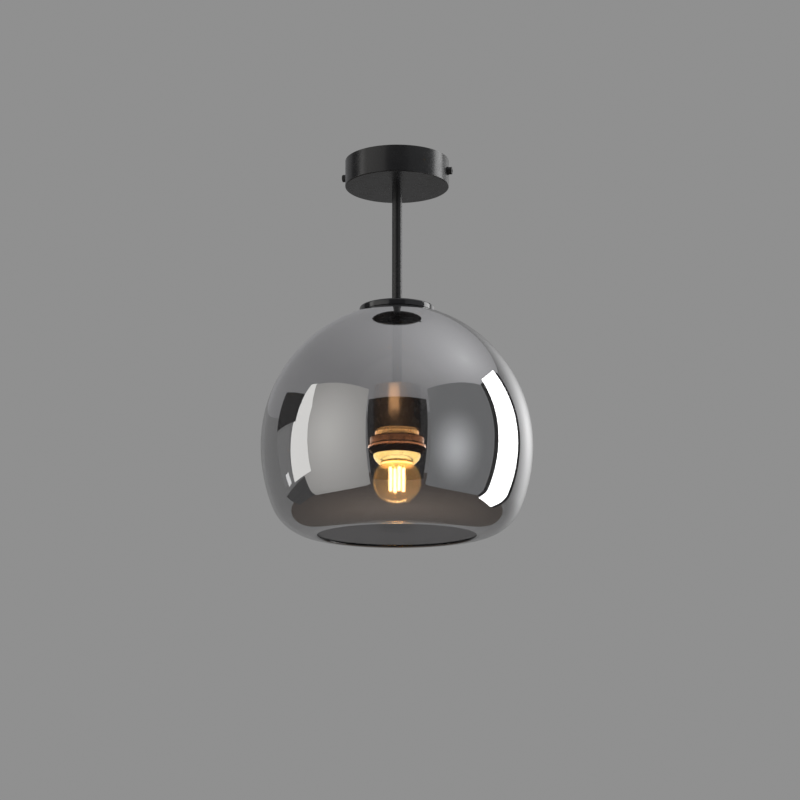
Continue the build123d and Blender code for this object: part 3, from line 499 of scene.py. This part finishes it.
class Outline:
    """The outline of a turned piece in millimetres, drawn in the X-Z plane and spun about the stem."""

    def __init__(self, radius: float, level: float) -> None:
        """Put down the first point.

        Args:
            radius: Distance from the lamp's axis.
            level: Height, where the ceiling is 0.
        """
        self.shape = bmesh.new()
        self.first = self.shape.verts.new((radius * MM, 0.0, level * MM))
        self.tip = self.first

    def line(self, radius: float, level: float) -> "Outline":
        """Draw a straight line to a point.

        Args:
            radius: Distance of the point from the axis.
            level: Height of the point.

        Returns:
            The outline itself.
        """
        made = bmesh.ops.extrude_vert_indiv(self.shape, verts=[self.tip])
        self.tip = made["verts"][0]
        self.tip.co = (radius * MM, 0.0, level * MM)
        return self

    def arc(self, radius: float, level: float, sweep: float, steps: int) -> "Outline":
        """Draw an arc about a centre.

        Args:
            radius: The centre's distance from the axis.
            level: The centre's height.
            sweep: Angle of the arc in radians, positive from outward to upward.
            steps: Number of its straight pieces.

        Returns:
            The outline itself.
        """
        made = bmesh.ops.spin(
            self.shape, geom=[self.tip], cent=(radius * MM, 0.0, level * MM),
            axis=(0.0, -1.0, 0.0), angle=sweep, steps=steps,
        )
        self.tip = next(item for item in made["geom_last"] if isinstance(item, bmesh.types.BMVert))
        return self

    def bow(self, swell: float, radius: float, level: float, steps: int) -> "Outline":
        """Draw a shallow arc to a point.

        Args:
            swell: How far the arc leaves the straight line, positive to the right of its way.
            radius: Distance of the point from the axis.
            level: Height of the point.
            steps: Number of its straight pieces.

        Returns:
            The outline itself.
        """
        start = Vector((self.tip.co.x, self.tip.co.z)) / MM
        end = Vector((radius, level))
        chord = end - start
        half = chord.length / 2
        arc_radius = (half ** 2 + swell ** 2) / (2 * abs(swell))
        side = Vector((chord.y, -chord.x)).normalized() * math.copysign(1.0, swell)
        centre = (start + end) / 2 - side * (arc_radius - abs(swell))
        sweep = 2 * math.asin(half / arc_radius) * math.copysign(1.0, swell)
        return self.arc(centre.x, centre.y, sweep, steps)

    def close(self) -> "Outline":
        """Join the last point to the first."""
        self.shape.edges.new((self.tip, self.first))
        return self

    def turn(self, soften: float = 0.0, steps: int = FLATS) -> bmesh.types.BMesh:
        """Spin the outline into a closed shape.

        Args:
            soften: Width of the small bevel along its sharp edges, in millimetres.
            steps: Number of flats round the piece.

        Returns:
            The turned shape, its faces outward.
        """
        shape = self.shape
        bmesh.ops.spin(
            shape, geom=shape.verts[:] + shape.edges[:], cent=(0, 0, 0), axis=(0, 0, 1),
            angle=math.tau, steps=steps, use_merge=True,
        )
        bmesh.ops.remove_doubles(shape, verts=shape.verts[:], dist=POLE_GAP * MM)
        bmesh.ops.recalc_face_normals(shape, faces=shape.faces[:])
        if soften > 0.0:
            soften_edges(shape, soften, SHARP_EDGE, True)
        return shape


def soften_edges(shape: bmesh.types.BMesh, width: float, least: float, clamp: bool) -> None:
    """Round the sharp edges of a shape.

    Args:
        shape: The shape.
        width: Width of the bevel in millimetres.
        least: Angle between two faces over which their edge is sharp, in radians.
        clamp: Whether the bevel gives way where there is no room for it.
    """
    sharp = [edge for edge in shape.edges if edge.calc_face_angle(0.0) > least]
    bmesh.ops.bevel(
        shape, geom=sharp, offset=width * MM, offset_type="OFFSET", segments=BEVEL_STEPS, profile=0.5,
        affect="EDGES", material=-1, clamp_overlap=clamp,
    )


def line_inside(shape: bmesh.types.BMesh, middle: float) -> None:
    """Give a hollow piece's inner faces its second material slot.

    Args:
        shape: A closed hollow shape, already the right way out.
        middle: Height of a point on the axis from which the whole wall is seen, in millimetres.
    """
    eye = Vector((0.0, 0.0, middle * MM))
    for face in shape.faces:
        if face.normal.dot(face.calc_center_median() - eye) < 0.0:
            face.material_index = 1


def fit(name: str, shape: bmesh.types.BMesh, node: str, body: str, *finishes: str) -> bpy.types.Object:
    """Make a finished piece that stands for a node.

    Args:
        name: Name of the piece.
        shape: Its mesh, which is freed.
        node: The node that it replaces.
        body: The body that it rides on.
        finishes: Its finishes; the first is the record's slot.

    Returns:
        The piece.
    """
    made = add_mesh(name, shape)
    dress(made, *finishes)
    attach(made, body)
    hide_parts(node)
    REFINED.add(node)
    log.info("piece %s for %s, %d faces", name, node, len(made.data.polygons))
    return made


def levels(node: str) -> Span:
    """Lowest and highest level of a node in millimetres."""
    low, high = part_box(node)
    return low[2] / MM, high[2] / MM


# ---- Glass globe ----------------------------------------------------------------------------------
@dataclass
class SmokeGlobe:
    """Open globe of half-mirrored smoke glass: dome, side, turned-in foot and a fire-rounded mouth."""

    radius: float = 125.0
    wall: float = 2.8
    hole_radius: float = 15.0
    dome_overhang: float = 6.5
    side_radius: float = 153.0
    side_drop: float = 56.7
    foot_radius: float = 43.5
    dome_steps: int = 44
    side_steps: int = 12
    foot_steps: int = 22
    mouth_steps: int = 10

    def build(self) -> bmesh.types.BMesh:
        """Turn the wall, outside first, then round the mouth and up the inside.

        Returns:
            The closed wall, with its inside in the second slot.
        """
        bottom, _ = levels("glass_shade")
        lean = math.asin(self.side_drop / self.side_radius)
        reach = self.side_radius - self.foot_radius
        side_centre = self.radius - self.side_radius
        foot_r = side_centre + reach * math.cos(lean)
        foot_z = bottom + self.foot_radius
        widest = foot_z + reach * math.sin(lean)
        dome = self.radius + self.dome_overhang
        dome_centre = -self.dome_overhang
        outer = math.acos((self.hole_radius - dome_centre) / dome)
        inner = math.acos((self.hole_radius - dome_centre) / (dome - self.wall))
        line = Outline(self.hole_radius, widest + dome * math.sin(outer))
        line.arc(dome_centre, widest, -outer, self.dome_steps)
        line.arc(side_centre, widest, -lean, self.side_steps)
        line.arc(foot_r, foot_z, lean - math.pi / 2, self.foot_steps)
        line.arc(foot_r, bottom + self.wall / 2, -math.pi, self.mouth_steps)
        line.arc(foot_r, foot_z, math.pi / 2 - lean, self.foot_steps)
        line.arc(side_centre, widest, lean, self.side_steps)
        line.arc(dome_centre, widest, inner, self.dome_steps)
        shape = line.close().turn()
        line_inside(shape, widest)
        return shape

    def make(self) -> None:
        """Build the globe and dress it: film outside, smoke tint inside."""
        fit("smoke_globe", self.build(), "glass_shade", "fixture", "smoked_mirror_glass",
            "smoke_inside")


# ---- Lampholder -----------------------------------------------------------------------------------
@dataclass
class Lampholder:
    """The holder's visible turned parts: black cup, brass skirt with its collar, dark ring, bright bowl."""

    cup_radius: float = 22.0
    cup_wall: float = 1.0
    stem_hole: float = 4.1
    spigot_radius: float = 20.9
    thread_radius: float = 19.2
    thread_wall: float = 1.1
    thread_fit: float = 0.08
    collar_radius: float = 20.4
    collar_lip: float = 0.9
    groove_depth: float = 0.6
    skirt_groove: float = 1.3
    collar_height: float = 5.7
    shoulder_radius: float = 24.8
    shoulder_height: float = 6.8
    rim_radius: float = 26.5
    rim_height: float = 2.9
    bowl_radius: float = 22.0
    bowl_mouth: float = 15.45
    bowl_wall: float = 0.7
    bowl_thread: float = 3.8
    edge: float = 0.25
    cup_round: float = 1.0
    cup_round_steps: int = 6
    skirt_edge: float = 0.1
    lip_chamfer: float = 0.3
    groove_rise: float = 0.5
    ring_chamfer: float = 0.6
    cone_ledge: float = 0.6
    bowl_edge: float = 0.15
    bowl_swell: float = 1.25
    bowl_steps: int = 10
    throat_swell: float = 0.63
    throat_steps: int = 8

    def cup(self) -> bmesh.types.BMesh:
        """Turn the black cup, open below.

        Returns:
            The cup.
        """
        bottom, top = levels("holder_cup")
        bore = self.cup_radius - self.cup_wall
        shoulder = self.cup_radius - self.cup_round
        line = Outline(self.stem_hole, top).line(shoulder, top)
        line.arc(shoulder, top - self.cup_round, -math.pi / 2, self.cup_round_steps)
        line.line(self.cup_radius, bottom).line(bore, bottom).line(bore, top - self.cup_wall)
        return line.line(self.stem_hole, top - self.cup_wall).close().turn(self.edge)

    def skirt(self) -> bmesh.types.BMesh:
        """Turn the brass skirt: spigot, groove, collar with its bright lip, and the thread below.

        Returns:
            The skirt with its collar.
        """
        bottom, top = levels("holder_skirt")
        cup_bottom, _ = levels("holder_cup")
        collar_top = cup_bottom - self.skirt_groove
        collar_bottom = collar_top - self.collar_height
        groove_top = cup_bottom + self.groove_rise
        bore = self.thread_radius - self.thread_wall
        face = self.collar_radius - self.lip_chamfer
        groove = self.collar_radius - self.groove_depth
        line = Outline(bore, bottom).line(self.thread_radius, bottom)
        line.line(self.thread_radius, collar_bottom).line(face, collar_bottom)
        line.line(face, collar_top - self.collar_lip)
        line.line(self.collar_radius, collar_top - self.collar_lip + self.lip_chamfer)
        line.line(self.collar_radius, collar_top - self.lip_chamfer).line(face, collar_top)
        line.line(groove, collar_top).line(groove, groove_top)
        line.line(self.spigot_radius, groove_top).line(self.spigot_radius, top)
        return line.line(bore, top).close().turn(self.skirt_edge)

    def ring(self) -> bmesh.types.BMesh:
        """Turn the dark stepped ring: shoulder, rim, and the cone below it.

        Returns:
            The ring.
        """
        bottom, top = levels("shade_ring")
        bore = self.thread_radius + self.thread_fit
        step = top - self.shoulder_height
        rim_top = step - (self.rim_radius - self.shoulder_radius) / 2
        rim_bottom = rim_top - self.rim_height
        chamfer = self.ring_chamfer
        line = Outline(bore, top).line(self.shoulder_radius - chamfer, top)
        line.line(self.shoulder_radius, top - chamfer).line(self.shoulder_radius, step)
        line.line(self.rim_radius, rim_top).line(self.rim_radius, rim_bottom)
        line.line(self.rim_radius - chamfer, rim_bottom - chamfer / 2)
        line.line(self.bowl_radius + self.cone_ledge, bottom)
        return line.line(bore, bottom).close().turn(self.edge)

    def bowl(self) -> bmesh.types.BMesh:
        """Turn the bright bowl-shaped ring round the bulb.

        Returns:
            The bowl.
        """
        bottom, top = levels("nose_ring")
        bore = self.thread_radius + self.thread_fit
        line = Outline(bore, top - self.bowl_thread).line(bore, top)
        line.line(self.bowl_radius, top)
        line.bow(-self.bowl_swell, self.bowl_mouth + self.bowl_wall, bottom, self.bowl_steps)
        line.line(self.bowl_mouth, bottom)
        line.bow(self.throat_swell, bore, top - self.bowl_thread, self.throat_steps)
        bmesh.ops.remove_doubles(line.shape, verts=line.shape.verts[:], dist=OUTLINE_GAP * MM)
        return line.turn(self.bowl_edge)

    def make(self) -> None:
        """Build and dress the holder's turned parts."""
        fit("cup", self.cup(), "holder_cup", "fixture", "black_satin_metal")
        fit("collar_skirt", self.skirt(), "holder_skirt", "fixture", "brass_plain")
        fit("stepped_ring", self.ring(), "shade_ring", "fixture", "dark_bronze")
        fit("bright_bowl", self.bowl(), "nose_ring", "fixture", "brass_polished")


# ---- Bulb -----------------------------------------------------------------------------------------
@dataclass
class LitBulb:
    """The bulb's globe and its four upright filaments."""

    radius: float = 22.0
    wall: float = 0.8
    neck_radius: float = 12.4
    fillet: float = 6.5
    rods: int = 4
    rod_radius: float = 1.35
    rod_circle: float = 6.25
    rod_turn: float = math.radians(31.4)
    tab_radius: float = 0.42
    tab_length: float = 1.6
    tab_overlap: float = 0.4
    end_round: float = 0.4
    fillet_steps: int = 8
    globe_steps: int = 40
    globe_flats: int = 96
    rod_flats: int = 24

    def globe(self) -> bmesh.types.BMesh:
        """Turn the thin glass: neck, fillet and globe, closed at the bottom.

        Returns:
            The closed wall, with its inside in the second slot.
        """
        bottom, top = levels("bulb_glass")
        centre = bottom + self.radius
        reach = self.radius + self.fillet
        fillet_r = self.neck_radius + self.fillet
        fillet_z = centre + math.sqrt(reach ** 2 - fillet_r ** 2)
        lean = math.asin((fillet_z - centre) / reach)
        line = Outline(self.neck_radius - self.wall, top).line(self.neck_radius, top)
        line.line(self.neck_radius, fillet_z).arc(fillet_r, fillet_z, lean, self.fillet_steps)
        line.arc(0.0, centre, -lean - math.pi / 2, self.globe_steps).line(0.0, bottom + self.wall)
        line.arc(0.0, centre, math.pi / 2 + lean, self.globe_steps)
        line.arc(fillet_r, fillet_z, -lean, self.fillet_steps)
        shape = line.close().turn(steps=self.globe_flats)
        line_inside(shape, centre)
        return shape

    def bar(self, radius: float, span: Span, turn: float, slot: int) -> bmesh.types.BMesh:
        """Build one upright round bar with rounded ends.

        Args:
            radius: Its radius in millimetres.
            span: Its lower and upper level.
            turn: Its place round the circle of the rods, in radians.
            slot: Its material slot.

        Returns:
            The bar.
        """
        low, high = span
        middle = Vector((
            self.rod_circle * math.cos(turn), self.rod_circle * math.sin(turn), (low + high) / 2,
        ))
        part = bmesh.new()
        bmesh.ops.create_cone(
            part, cap_ends=True, segments=self.rod_flats, radius1=radius * MM, radius2=radius * MM,
            depth=(high - low) * MM,
        )
        soften_edges(part, radius * self.end_round, SHARP_RIM, False)
        bmesh.ops.translate(part, vec=middle * MM, verts=part.verts[:])
        for face in part.faces:
            face.material_index = slot
        return part

    def filaments(self) -> bmesh.types.BMesh:
        """Build the coated rods, each with a small metal tab at both ends.

        Returns:
            The rods, with their tabs in the second slot.
        """
        bottom, top = levels("bulb_filaments")
        bars = (
            (self.rod_radius, (bottom + self.tab_length, top - self.tab_length), 0),
            (self.tab_radius, (bottom, bottom + self.tab_length + self.tab_overlap), 1),
            (self.tab_radius, (top - self.tab_length - self.tab_overlap, top), 1),
        )
        shape = bmesh.new()
        for index in range(self.rods):
            turn = self.rod_turn + math.tau * index / self.rods
            for radius, span, slot in bars:
                add_part(shape, self.bar(radius, span, turn, slot))
        return shape

    def make(self) -> None:
        """Build and dress the bulb's glass and filaments."""
        fit("bulb_globe", self.globe(), "bulb_glass", "bulb", "amber_glass", "amber_inside")
        fit("glowing_rods", self.filaments(), "bulb_filaments", "bulb", "filament_glow",
            "nickel_plate")


def add_part(shape: bmesh.types.BMesh, part: bmesh.types.BMesh) -> None:
    """Add a part's mesh to a shape.

    Args:
        shape: The shape.
        part: The part, which is freed.
    """
    mesh = bpy.data.meshes.new("part")
    part.to_mesh(mesh)
    part.free()
    shape.from_mesh(mesh)
    bpy.data.meshes.remove(mesh)


# ---- Carried-over nodes ---------------------------------------------------------------------------
@dataclass
class CarriedNodes:
    """The CAD nodes whose shape is right: each keeps its mesh and gets the finish of its slot."""

    replaced: set[str] = field(default_factory=set)

    def dress(self) -> None:
        """Dress every node that no finer piece stands for."""
        slots = {part["node"]: part["material_slot"] for part in frame["record"]["subparts"]}
        for name, node in NODES.items():
            if name not in self.replaced:
                dress(node, slots[name])
                log.info("node %s in %s", name, slots[name])


# ---- Studio ---------------------------------------------------------------------------------------
@dataclass
class Camera:
    """The camera of the photograph: below the lamp, looking a little up."""

    turn: float = math.radians(13.0)
    pitch: float = math.radians(12.3)
    distance: float = 1.845
    height: float = -0.633
    aside: float = 0.00275
    lens: float = 92.1
    sensor: float = 36.0
    clip: Span = (0.01, 50.0)

    def ahead(self) -> Vector:
        """Level direction from the camera to the lamp."""
        return Vector((-math.sin(self.turn), math.cos(self.turn), 0.0))

    def right(self) -> Vector:
        """Level direction to the right of the picture."""
        return Vector((math.cos(self.turn), math.sin(self.turn), 0.0))

    def make(self) -> bpy.types.Object:
        """Place the camera.

        Returns:
            The camera object, now the scene's own.
        """
        data = bpy.data.cameras.new("camera")
        data.lens = self.lens
        data.sensor_width = self.sensor
        data.clip_start, data.clip_end = self.clip
        camera = bpy.data.objects.new("camera", data)
        bpy.context.scene.collection.objects.link(camera)
        look = self.ahead() * math.cos(self.pitch) + Vector((0, 0, math.sin(self.pitch)))
        camera.rotation_mode = "QUATERNION"
        camera.rotation_quaternion = look.to_track_quat("-Z", "Y")
        camera.location = self.right() * self.aside - self.ahead() * self.distance
        camera.location.z = self.height
        bpy.context.scene.camera = camera
        return camera


@dataclass(frozen=True)
class Panel:
    """A flat studio panel that the glass mirrors: a soft light, or a dark flag where its level is 0.

    Places are given round the lamp in degrees, as the camera sees it: azimuth 0 is towards the camera
    and positive to the picture's right, and elevation 0 is level with the globe. The corners go from
    the upper left by the upper right and the lower right to the lower left. The level falls from the
    bright spot to the edge level over the reach, in metres.
    """

    name: str
    corners: tuple[Spot, Spot, Spot, Spot]
    level: float
    edge: float | None = None
    bright: Spot = (0.0, 0.0)
    reach: float = 1.0
    colour: Colour = (1.0, 1.0, 1.0)
    distance: float = 2.6


PANELS: tuple[Panel, ...] = (
    Panel("left_softbox", ((-88, 34), (-25, 34), (-25, -65), (-86, -54)), 0.96, 0.40, (-58, 4), 3.0,
          (1.0, 0.98, 0.94)),
    Panel("left_strip", ((-88, 35), (-62, 37), (-68, -13), (-101, -13)), 1.32, distance=2.5,
          colour=(1.0, 0.99, 0.96)),
    Panel("left_square", ((-119, 27), (-90, 29), (-92, 14), (-117, 11)), 0.0, distance=2.4),
    Panel("left_grey", ((-116, 10), (-98, 12), (-101, -12), (-116, -10)), 0.24, distance=2.4),
    Panel("left_glint", ((-110, -7), (-105, -7), (-105, -12), (-110, -12)), 1.2, distance=2.3),
    Panel("left_low", ((-120, -13), (-86, -14), (-86, -50), (-114, -46)), 0.05, distance=2.7),
    Panel("right_panel", ((27, 34), (88, 38), (88, -54), (27, -65)), 1.30, 0.23, (50, -5), 1.25,
          (0.96, 0.98, 1.0)),
    Panel("window_frame", ((86, 51), (122, 48), (124, -50), (87, -50)), 0.0, distance=2.5),
    Panel("right_window", ((91, 43), (118, 43), (119, -47), (91, -47)), 4.2, distance=2.3),
    Panel("right_back", ((122, 40), (178, 40), (178, -22), (122, -22)), 1.9, 0.20, (142, 12), 1.6),
    Panel("camera_flag", ((-24, 26), (25, 26), (22, -68), (-21, -68)), 0.0, distance=3.0),
)


@dataclass(frozen=True)
class Card:
    """A level round card that the glass mirrors, over or under the lamp, in metres.

    Its bright spot lies aside to the picture's right, and the level falls from there to the edge level
    over the reach.
    """

    name: str
    height: float
    radius: float
    level: float
    edge: float
    reach: float
    colour: Colour
    aside: float = 0.0


CARDS: tuple[Card, ...] = (
    Card("mirrored_floor", -1.88, 3.6, 0.22, 0.07, 3.0, (1.0, 0.80, 0.66)),
    Card("mirrored_ceiling", 1.5, 6.0, 0.90, 0.30, 3.4, (0.98, 0.98, 1.0), 1.4),
)


class LampKind(Enum):
    """The kinds of lamp in the studio."""

    AREA = "AREA"
    POINT = "POINT"


class Facing(Enum):
    """Where a small warm lamp shines, with the shape that it has for it."""

    UP = "ELLIPSE"
    INWARD = "RECTANGLE"


@dataclass(frozen=True)
class WarmLamp:
    """A small lamp inside the globe for the bulb's light that the mirrored glass throws back.

    Only the named pieces catch it. Its place is in millimetres: across and towards the camera from the
    lamp's axis, and its level.
    """

    name: str
    across: float
    forward: float
    level: float
    width: float
    height: float
    power: float
    colour: Colour
    facing: Facing
    pieces: tuple[str, ...]


@dataclass(frozen=True)
class WarmRing:
    """A ring of the same small lamps around the holder, in millimetres, with each lamp's power."""

    name: str
    level: float
    height: float
    power: float
    colour: Colour
    piece: str
    radius: float = 86.0
    count: int = 8

    def lamps(self) -> list[WarmLamp]:
        """Set out the ring's lamps.

        Returns:
            The lamps, edge to edge around the holder.
        """
        width = math.tau * self.radius / self.count
        turns = [math.tau * index / self.count for index in range(self.count)]
        return [
            WarmLamp(
                f"{self.name}_{index}", self.radius * math.sin(turn), self.radius * math.cos(turn),
                self.level, width, self.height, self.power, self.colour, Facing.INWARD, (self.piece,),
            )
            for index, turn in enumerate(turns)
        ]


WARM_LAMPS: tuple[WarmLamp, ...] = (
    WarmLamp("mouth_glow", 0, 8, -352, 150, 150, 0.29, (1.0, 0.89, 0.66), Facing.UP, ("bright_bowl",)),
    WarmLamp("bulb_foot", 0, -26, -352, 60, 18, 0.15, (1.0, 0.66, 0.30), Facing.UP, ("bulb_globe",)),
    WarmLamp("rod_image", -17, 78, -220, 62, 40, 0.30, (1.0, 0.52, 0.22), Facing.INWARD, ("cup",)),
)
WARM_RINGS: tuple[WarmRing, ...] = (
    WarmRing("bowl_glow", -314, 82, 0.080, (1.0, 0.86, 0.60), "bright_bowl"),
    WarmRing("collar_glow", -247, 26, 0.027, (1.0, 0.72, 0.58), "collar_skirt"),
    WarmRing("shoulder_glow", -252, 14, 0.012, (1.0, 0.80, 0.64), "stepped_ring"),
    WarmRing("rim_glow", -263, 11, 0.026, (1.0, 0.86, 0.76), "stepped_ring"),
)


@dataclass
class Studio:
    """Plain pale floor, plain backdrop, soft panels and the flags between them."""

    camera: Camera
    floor_level: float = -1.9
    floor_size: float = 9.0
    backdrop: float = 0.278
    surroundings: float = 0.22
    fill: float = 0.36
    middle: float = -0.28
    card_flats: int = 96
    overhead_power: float = 26.0
    overhead_level: float = 1.9
    overhead_size: float = 3.4
    bulb_power: float = 1.3
    bulb_size: float = 6.0
    bulb_colour: Colour = (1.0, 0.58, 0.24)
    unlit: Colour = (0.02, 0.02, 0.02)

    def emitting(self, panel: Panel | Card, bright: Vector) -> bpy.types.Material:
        """Plain material of a panel or card.

        Args:
            panel: The panel, with its tint, its levels and its reach.
            bright: Its bright spot.

        Returns:
            The material.
        """
        made = bpy.data.materials.new("studio_" + panel.name)
        made.use_nodes = True
        tree = Nodes(made.node_tree)
        tree.put("Base Color", (*self.unlit, 1.0))
        tree.put("Roughness", 1.0)
        tree.put("Specular IOR Level", 0.0)
        tree.put("Emission Color", (*panel.colour, 1.0))
        tree.put("Emission Strength", panel.level)
        if panel.edge is not None:
            mapping = tree.tree.nodes.new("ShaderNodeMapping")
            mapping.inputs["Scale"].default_value = (1 / panel.reach,) * 3
            mapping.inputs["Location"].default_value = -bright / panel.reach
            tree.link(tree.place, mapping.inputs["Vector"])
            fall = tree.tree.nodes.new("ShaderNodeTexGradient")
            fall.gradient_type = "QUADRATIC_SPHERE"
            tree.link(mapping.outputs["Vector"], fall.inputs["Vector"])
            span = (panel.edge, panel.level)
            tree.drive("Emission Strength", tree.ramp(fall.outputs["Fac"], (0.0, 1.0), span))
        return made

    def place(self, spot: Spot, distance: float) -> Vector:
        """Find the point at an azimuth and elevation.

        Args:
            spot: Azimuth and elevation in degrees.
            distance: Level distance from the lamp's axis, in metres.

        Returns:
            The point.
        """
        turn, rise = (math.radians(angle) for angle in spot)
        level = self.camera.right() * math.sin(turn) - self.camera.ahead() * math.cos(turn)
        return level * distance + Vector((0, 0, self.middle + distance * math.tan(rise)))

    def only_mirrored(self, thing: bpy.types.Object) -> None:
        """Stage a card that is seen in the reflections alone.

        Args:
            thing: The card.
        """
        thing.visible_camera = False
        thing.visible_transmission = False
        thing.visible_diffuse = False
        thing.visible_shadow = False

    def make_panel(self, panel: Panel) -> None:
        """Build one panel between its four corners.

        Args:
            panel: Its place and level.
        """
        shape = bmesh.new()
        bmesh.ops.create_grid(shape, x_segments=1, y_segments=1, size=0.5)
        corners = [self.place(corner, panel.distance) for corner in panel.corners]
        for vert in shape.verts:
            if vert.co.y > 0:
                vert.co = corners[0] if vert.co.x < 0 else corners[1]
            else:
                vert.co = corners[3] if vert.co.x < 0 else corners[2]
        made = add_mesh("panel_" + panel.name, shape)
        bright = self.place(panel.bright, panel.distance)
        made.data.materials.append(self.emitting(panel, bright))
        self.only_mirrored(made)

    def make_card(self, card: Card) -> None:
        """Build one round card.

        Args:
            card: Its place and level.
        """
        shape = bmesh.new()
        bmesh.ops.create_circle(shape, cap_ends=True, segments=self.card_flats, radius=card.radius)
        bmesh.ops.translate(shape, vec=(0, 0, card.height), verts=shape.verts[:])
        made = add_mesh(card.name, shape)
        bright = self.camera.right() * card.aside + Vector((0.0, 0.0, card.height))
        made.data.materials.append(self.emitting(card, bright))
        self.only_mirrored(made)

    def make_floor(self) -> None:
        """Lay the pale floor, well below the lamp, and the cards that the glass mirrors."""
        shape = bmesh.new()
        bmesh.ops.create_grid(shape, x_segments=1, y_segments=1, size=self.floor_size)
        bmesh.ops.translate(shape, vec=(0, 0, self.floor_level), verts=shape.verts[:])
        made = add_mesh("floor", shape)
        pale = Finish("floor", (0.78, 0.77, 0.76), (0.82, 0.81, 0.80), 0.7, 0.05, specular=0.2)
        made.data.materials.append(pale.material())
        made.visible_glossy = False
        for card in CARDS:
            self.make_card(card)

    def make_world(self) -> None:
        """Grey backdrop for the camera and the glass, a darker one mirrored, and a fill for the rest."""
        world = bpy.data.worlds.new("studio")
        bpy.context.scene.world = world
        world.use_nodes = True
        tree = world.node_tree
        background = tree.nodes["Background"]
        path = tree.nodes.new("ShaderNodeLightPath")
        seen = tree.nodes.new("ShaderNodeMath")
        seen.operation = "MAXIMUM"
        tree.links.new(path.outputs["Is Camera Ray"], seen.inputs[0])
        tree.links.new(path.outputs["Is Transmission Ray"], seen.inputs[1])
        fill = self.grey_mix(tree, self.fill, self.surroundings, path.outputs["Is Glossy Ray"])
        shown = self.grey_mix(tree, 0.0, self.backdrop, seen.outputs["Value"])
        tree.links.new(fill.outputs[MIX_RESULT], shown.inputs[MIX_FIRST])
        tree.links.new(shown.outputs[MIX_RESULT], background.inputs["Color"])
        background.inputs["Strength"].default_value = 1.0

    def grey_mix(
        self, tree: bpy.types.NodeTree, first: float, second: float, factor: Socket
    ) -> bpy.types.Node:
        """Add a mix of two greys to the world.

        Args:
            tree: The world's node tree.
            first: Grey at a factor of 0.
            second: Grey at a factor of 1.
            factor: The factor.

        Returns:
            The mix node.
        """
        mix = add_colour_mix(tree)
        mix.inputs[MIX_FIRST].default_value = (first, first, first, 1.0)
        mix.inputs[MIX_SECOND].default_value = (second, second, second, 1.0)
        tree.links.new(factor, mix.inputs[MIX_FACTOR])
        return mix

    def add_lamp(self, name: str, kind: LampKind, power: float, place: Vector) -> bpy.types.Object:
        """Add a lamp that is not itself seen, by the camera or through glass.

        Args:
            name: Name of the lamp.
            kind: Its kind.
            power: Its power in watts.
            place: Where it hangs.

        Returns:
            The lamp object.
        """
        data = bpy.data.lights.new(name, kind.value)
        data.energy = power
        lamp = bpy.data.objects.new(name, data)
        lamp.location = place
        lamp.visible_camera = False
        lamp.visible_transmission = False
        bpy.context.scene.collection.objects.link(lamp)
        return lamp

    def make_lamps(self) -> None:
        """Add the soft overhead light, the glow of the bulb, and the glow inside the globe."""
        above = Vector((0.0, 0.0, self.overhead_level))
        sky = self.add_lamp("overhead", LampKind.AREA, self.overhead_power, above)
        sky.data.shape = "DISK"
        sky.data.size = self.overhead_size
        sky.visible_glossy = False
        low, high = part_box("bulb_filaments")
        middle = (Vector(low) + Vector(high)) / 2
        glow = self.add_lamp("bulb_glow", LampKind.POINT, self.bulb_power, middle)
        glow.data.color = self.bulb_colour
        glow.data.shadow_soft_size = self.bulb_size * MM
        for warm in [*WARM_LAMPS, *(lamp for ring in WARM_RINGS for lamp in ring.lamps())]:
            self.make_warm_lamp(warm)

    def make_warm_lamp(self, warm: WarmLamp) -> None:
        """Add one of the small lamps inside the globe; rays that came through glass find it too.

        Args:
            warm: Its place, size, power and the pieces that catch it.
        """
        outward = (self.camera.right() * warm.across - self.camera.ahead() * warm.forward) * MM
        place = outward + Vector((0.0, 0.0, warm.level * MM))
        lamp = self.add_lamp(warm.name, LampKind.AREA, warm.power, place)
        lamp.data.shape = warm.facing.value
        lamp.data.size = warm.width * MM
        lamp.data.size_y = warm.height * MM
        lamp.data.color = warm.colour
        way = Vector((0.0, 0.0, 1.0)) if warm.facing is Facing.UP else -outward
        lamp.rotation_mode = "QUATERNION"
        lamp.rotation_quaternion = way.to_track_quat("-Z", "Y")
        lamp.visible_transmission = True
        catching = bpy.data.collections.new("lit_by_" + warm.name)
        for name in warm.pieces:
            catching.objects.link(bpy.data.objects[name])
        lamp.light_linking.receiver_collection = catching

    def make(self) -> None:
        """Build the whole studio."""
        self.make_world()
        self.make_floor()
        self.make_lamps()
        for panel in PANELS:
            self.make_panel(panel)
        log.info("studio: %d panels", len(PANELS))


def add_mesh(name: str, shape: bmesh.types.BMesh) -> bpy.types.Object:
    """Make an object of a finished bmesh, smooth but for its sharp edges.

    Args:
        name: Name of the piece.
        shape: The mesh, which is freed.

    Returns:
        The new object, at the origin.
    """
    mesh = bpy.data.meshes.new(name)
    shape.to_mesh(mesh)
    shape.free()
    mesh.shade_smooth()
    mesh.set_sharp_from_angle(angle=SHARP_SHADING)
    made = bpy.data.objects.new(name, mesh)
    bpy.context.scene.collection.objects.link(made)
    return made


def main() -> None:
    """Build the lamp's fine pieces, its finishes and its studio."""
    logging.basicConfig(level=logging.INFO, format="%(message)s")
    bpy.context.scene.view_settings.view_transform = "Standard"
    camera = Camera()
    camera.make()
    for assembly in (SmokeGlobe(), Lampholder(), LitBulb()):
        assembly.make()
    CarriedNodes(REFINED).dress()
    Studio(camera).make()


if __name__ == "__main__":
    main()
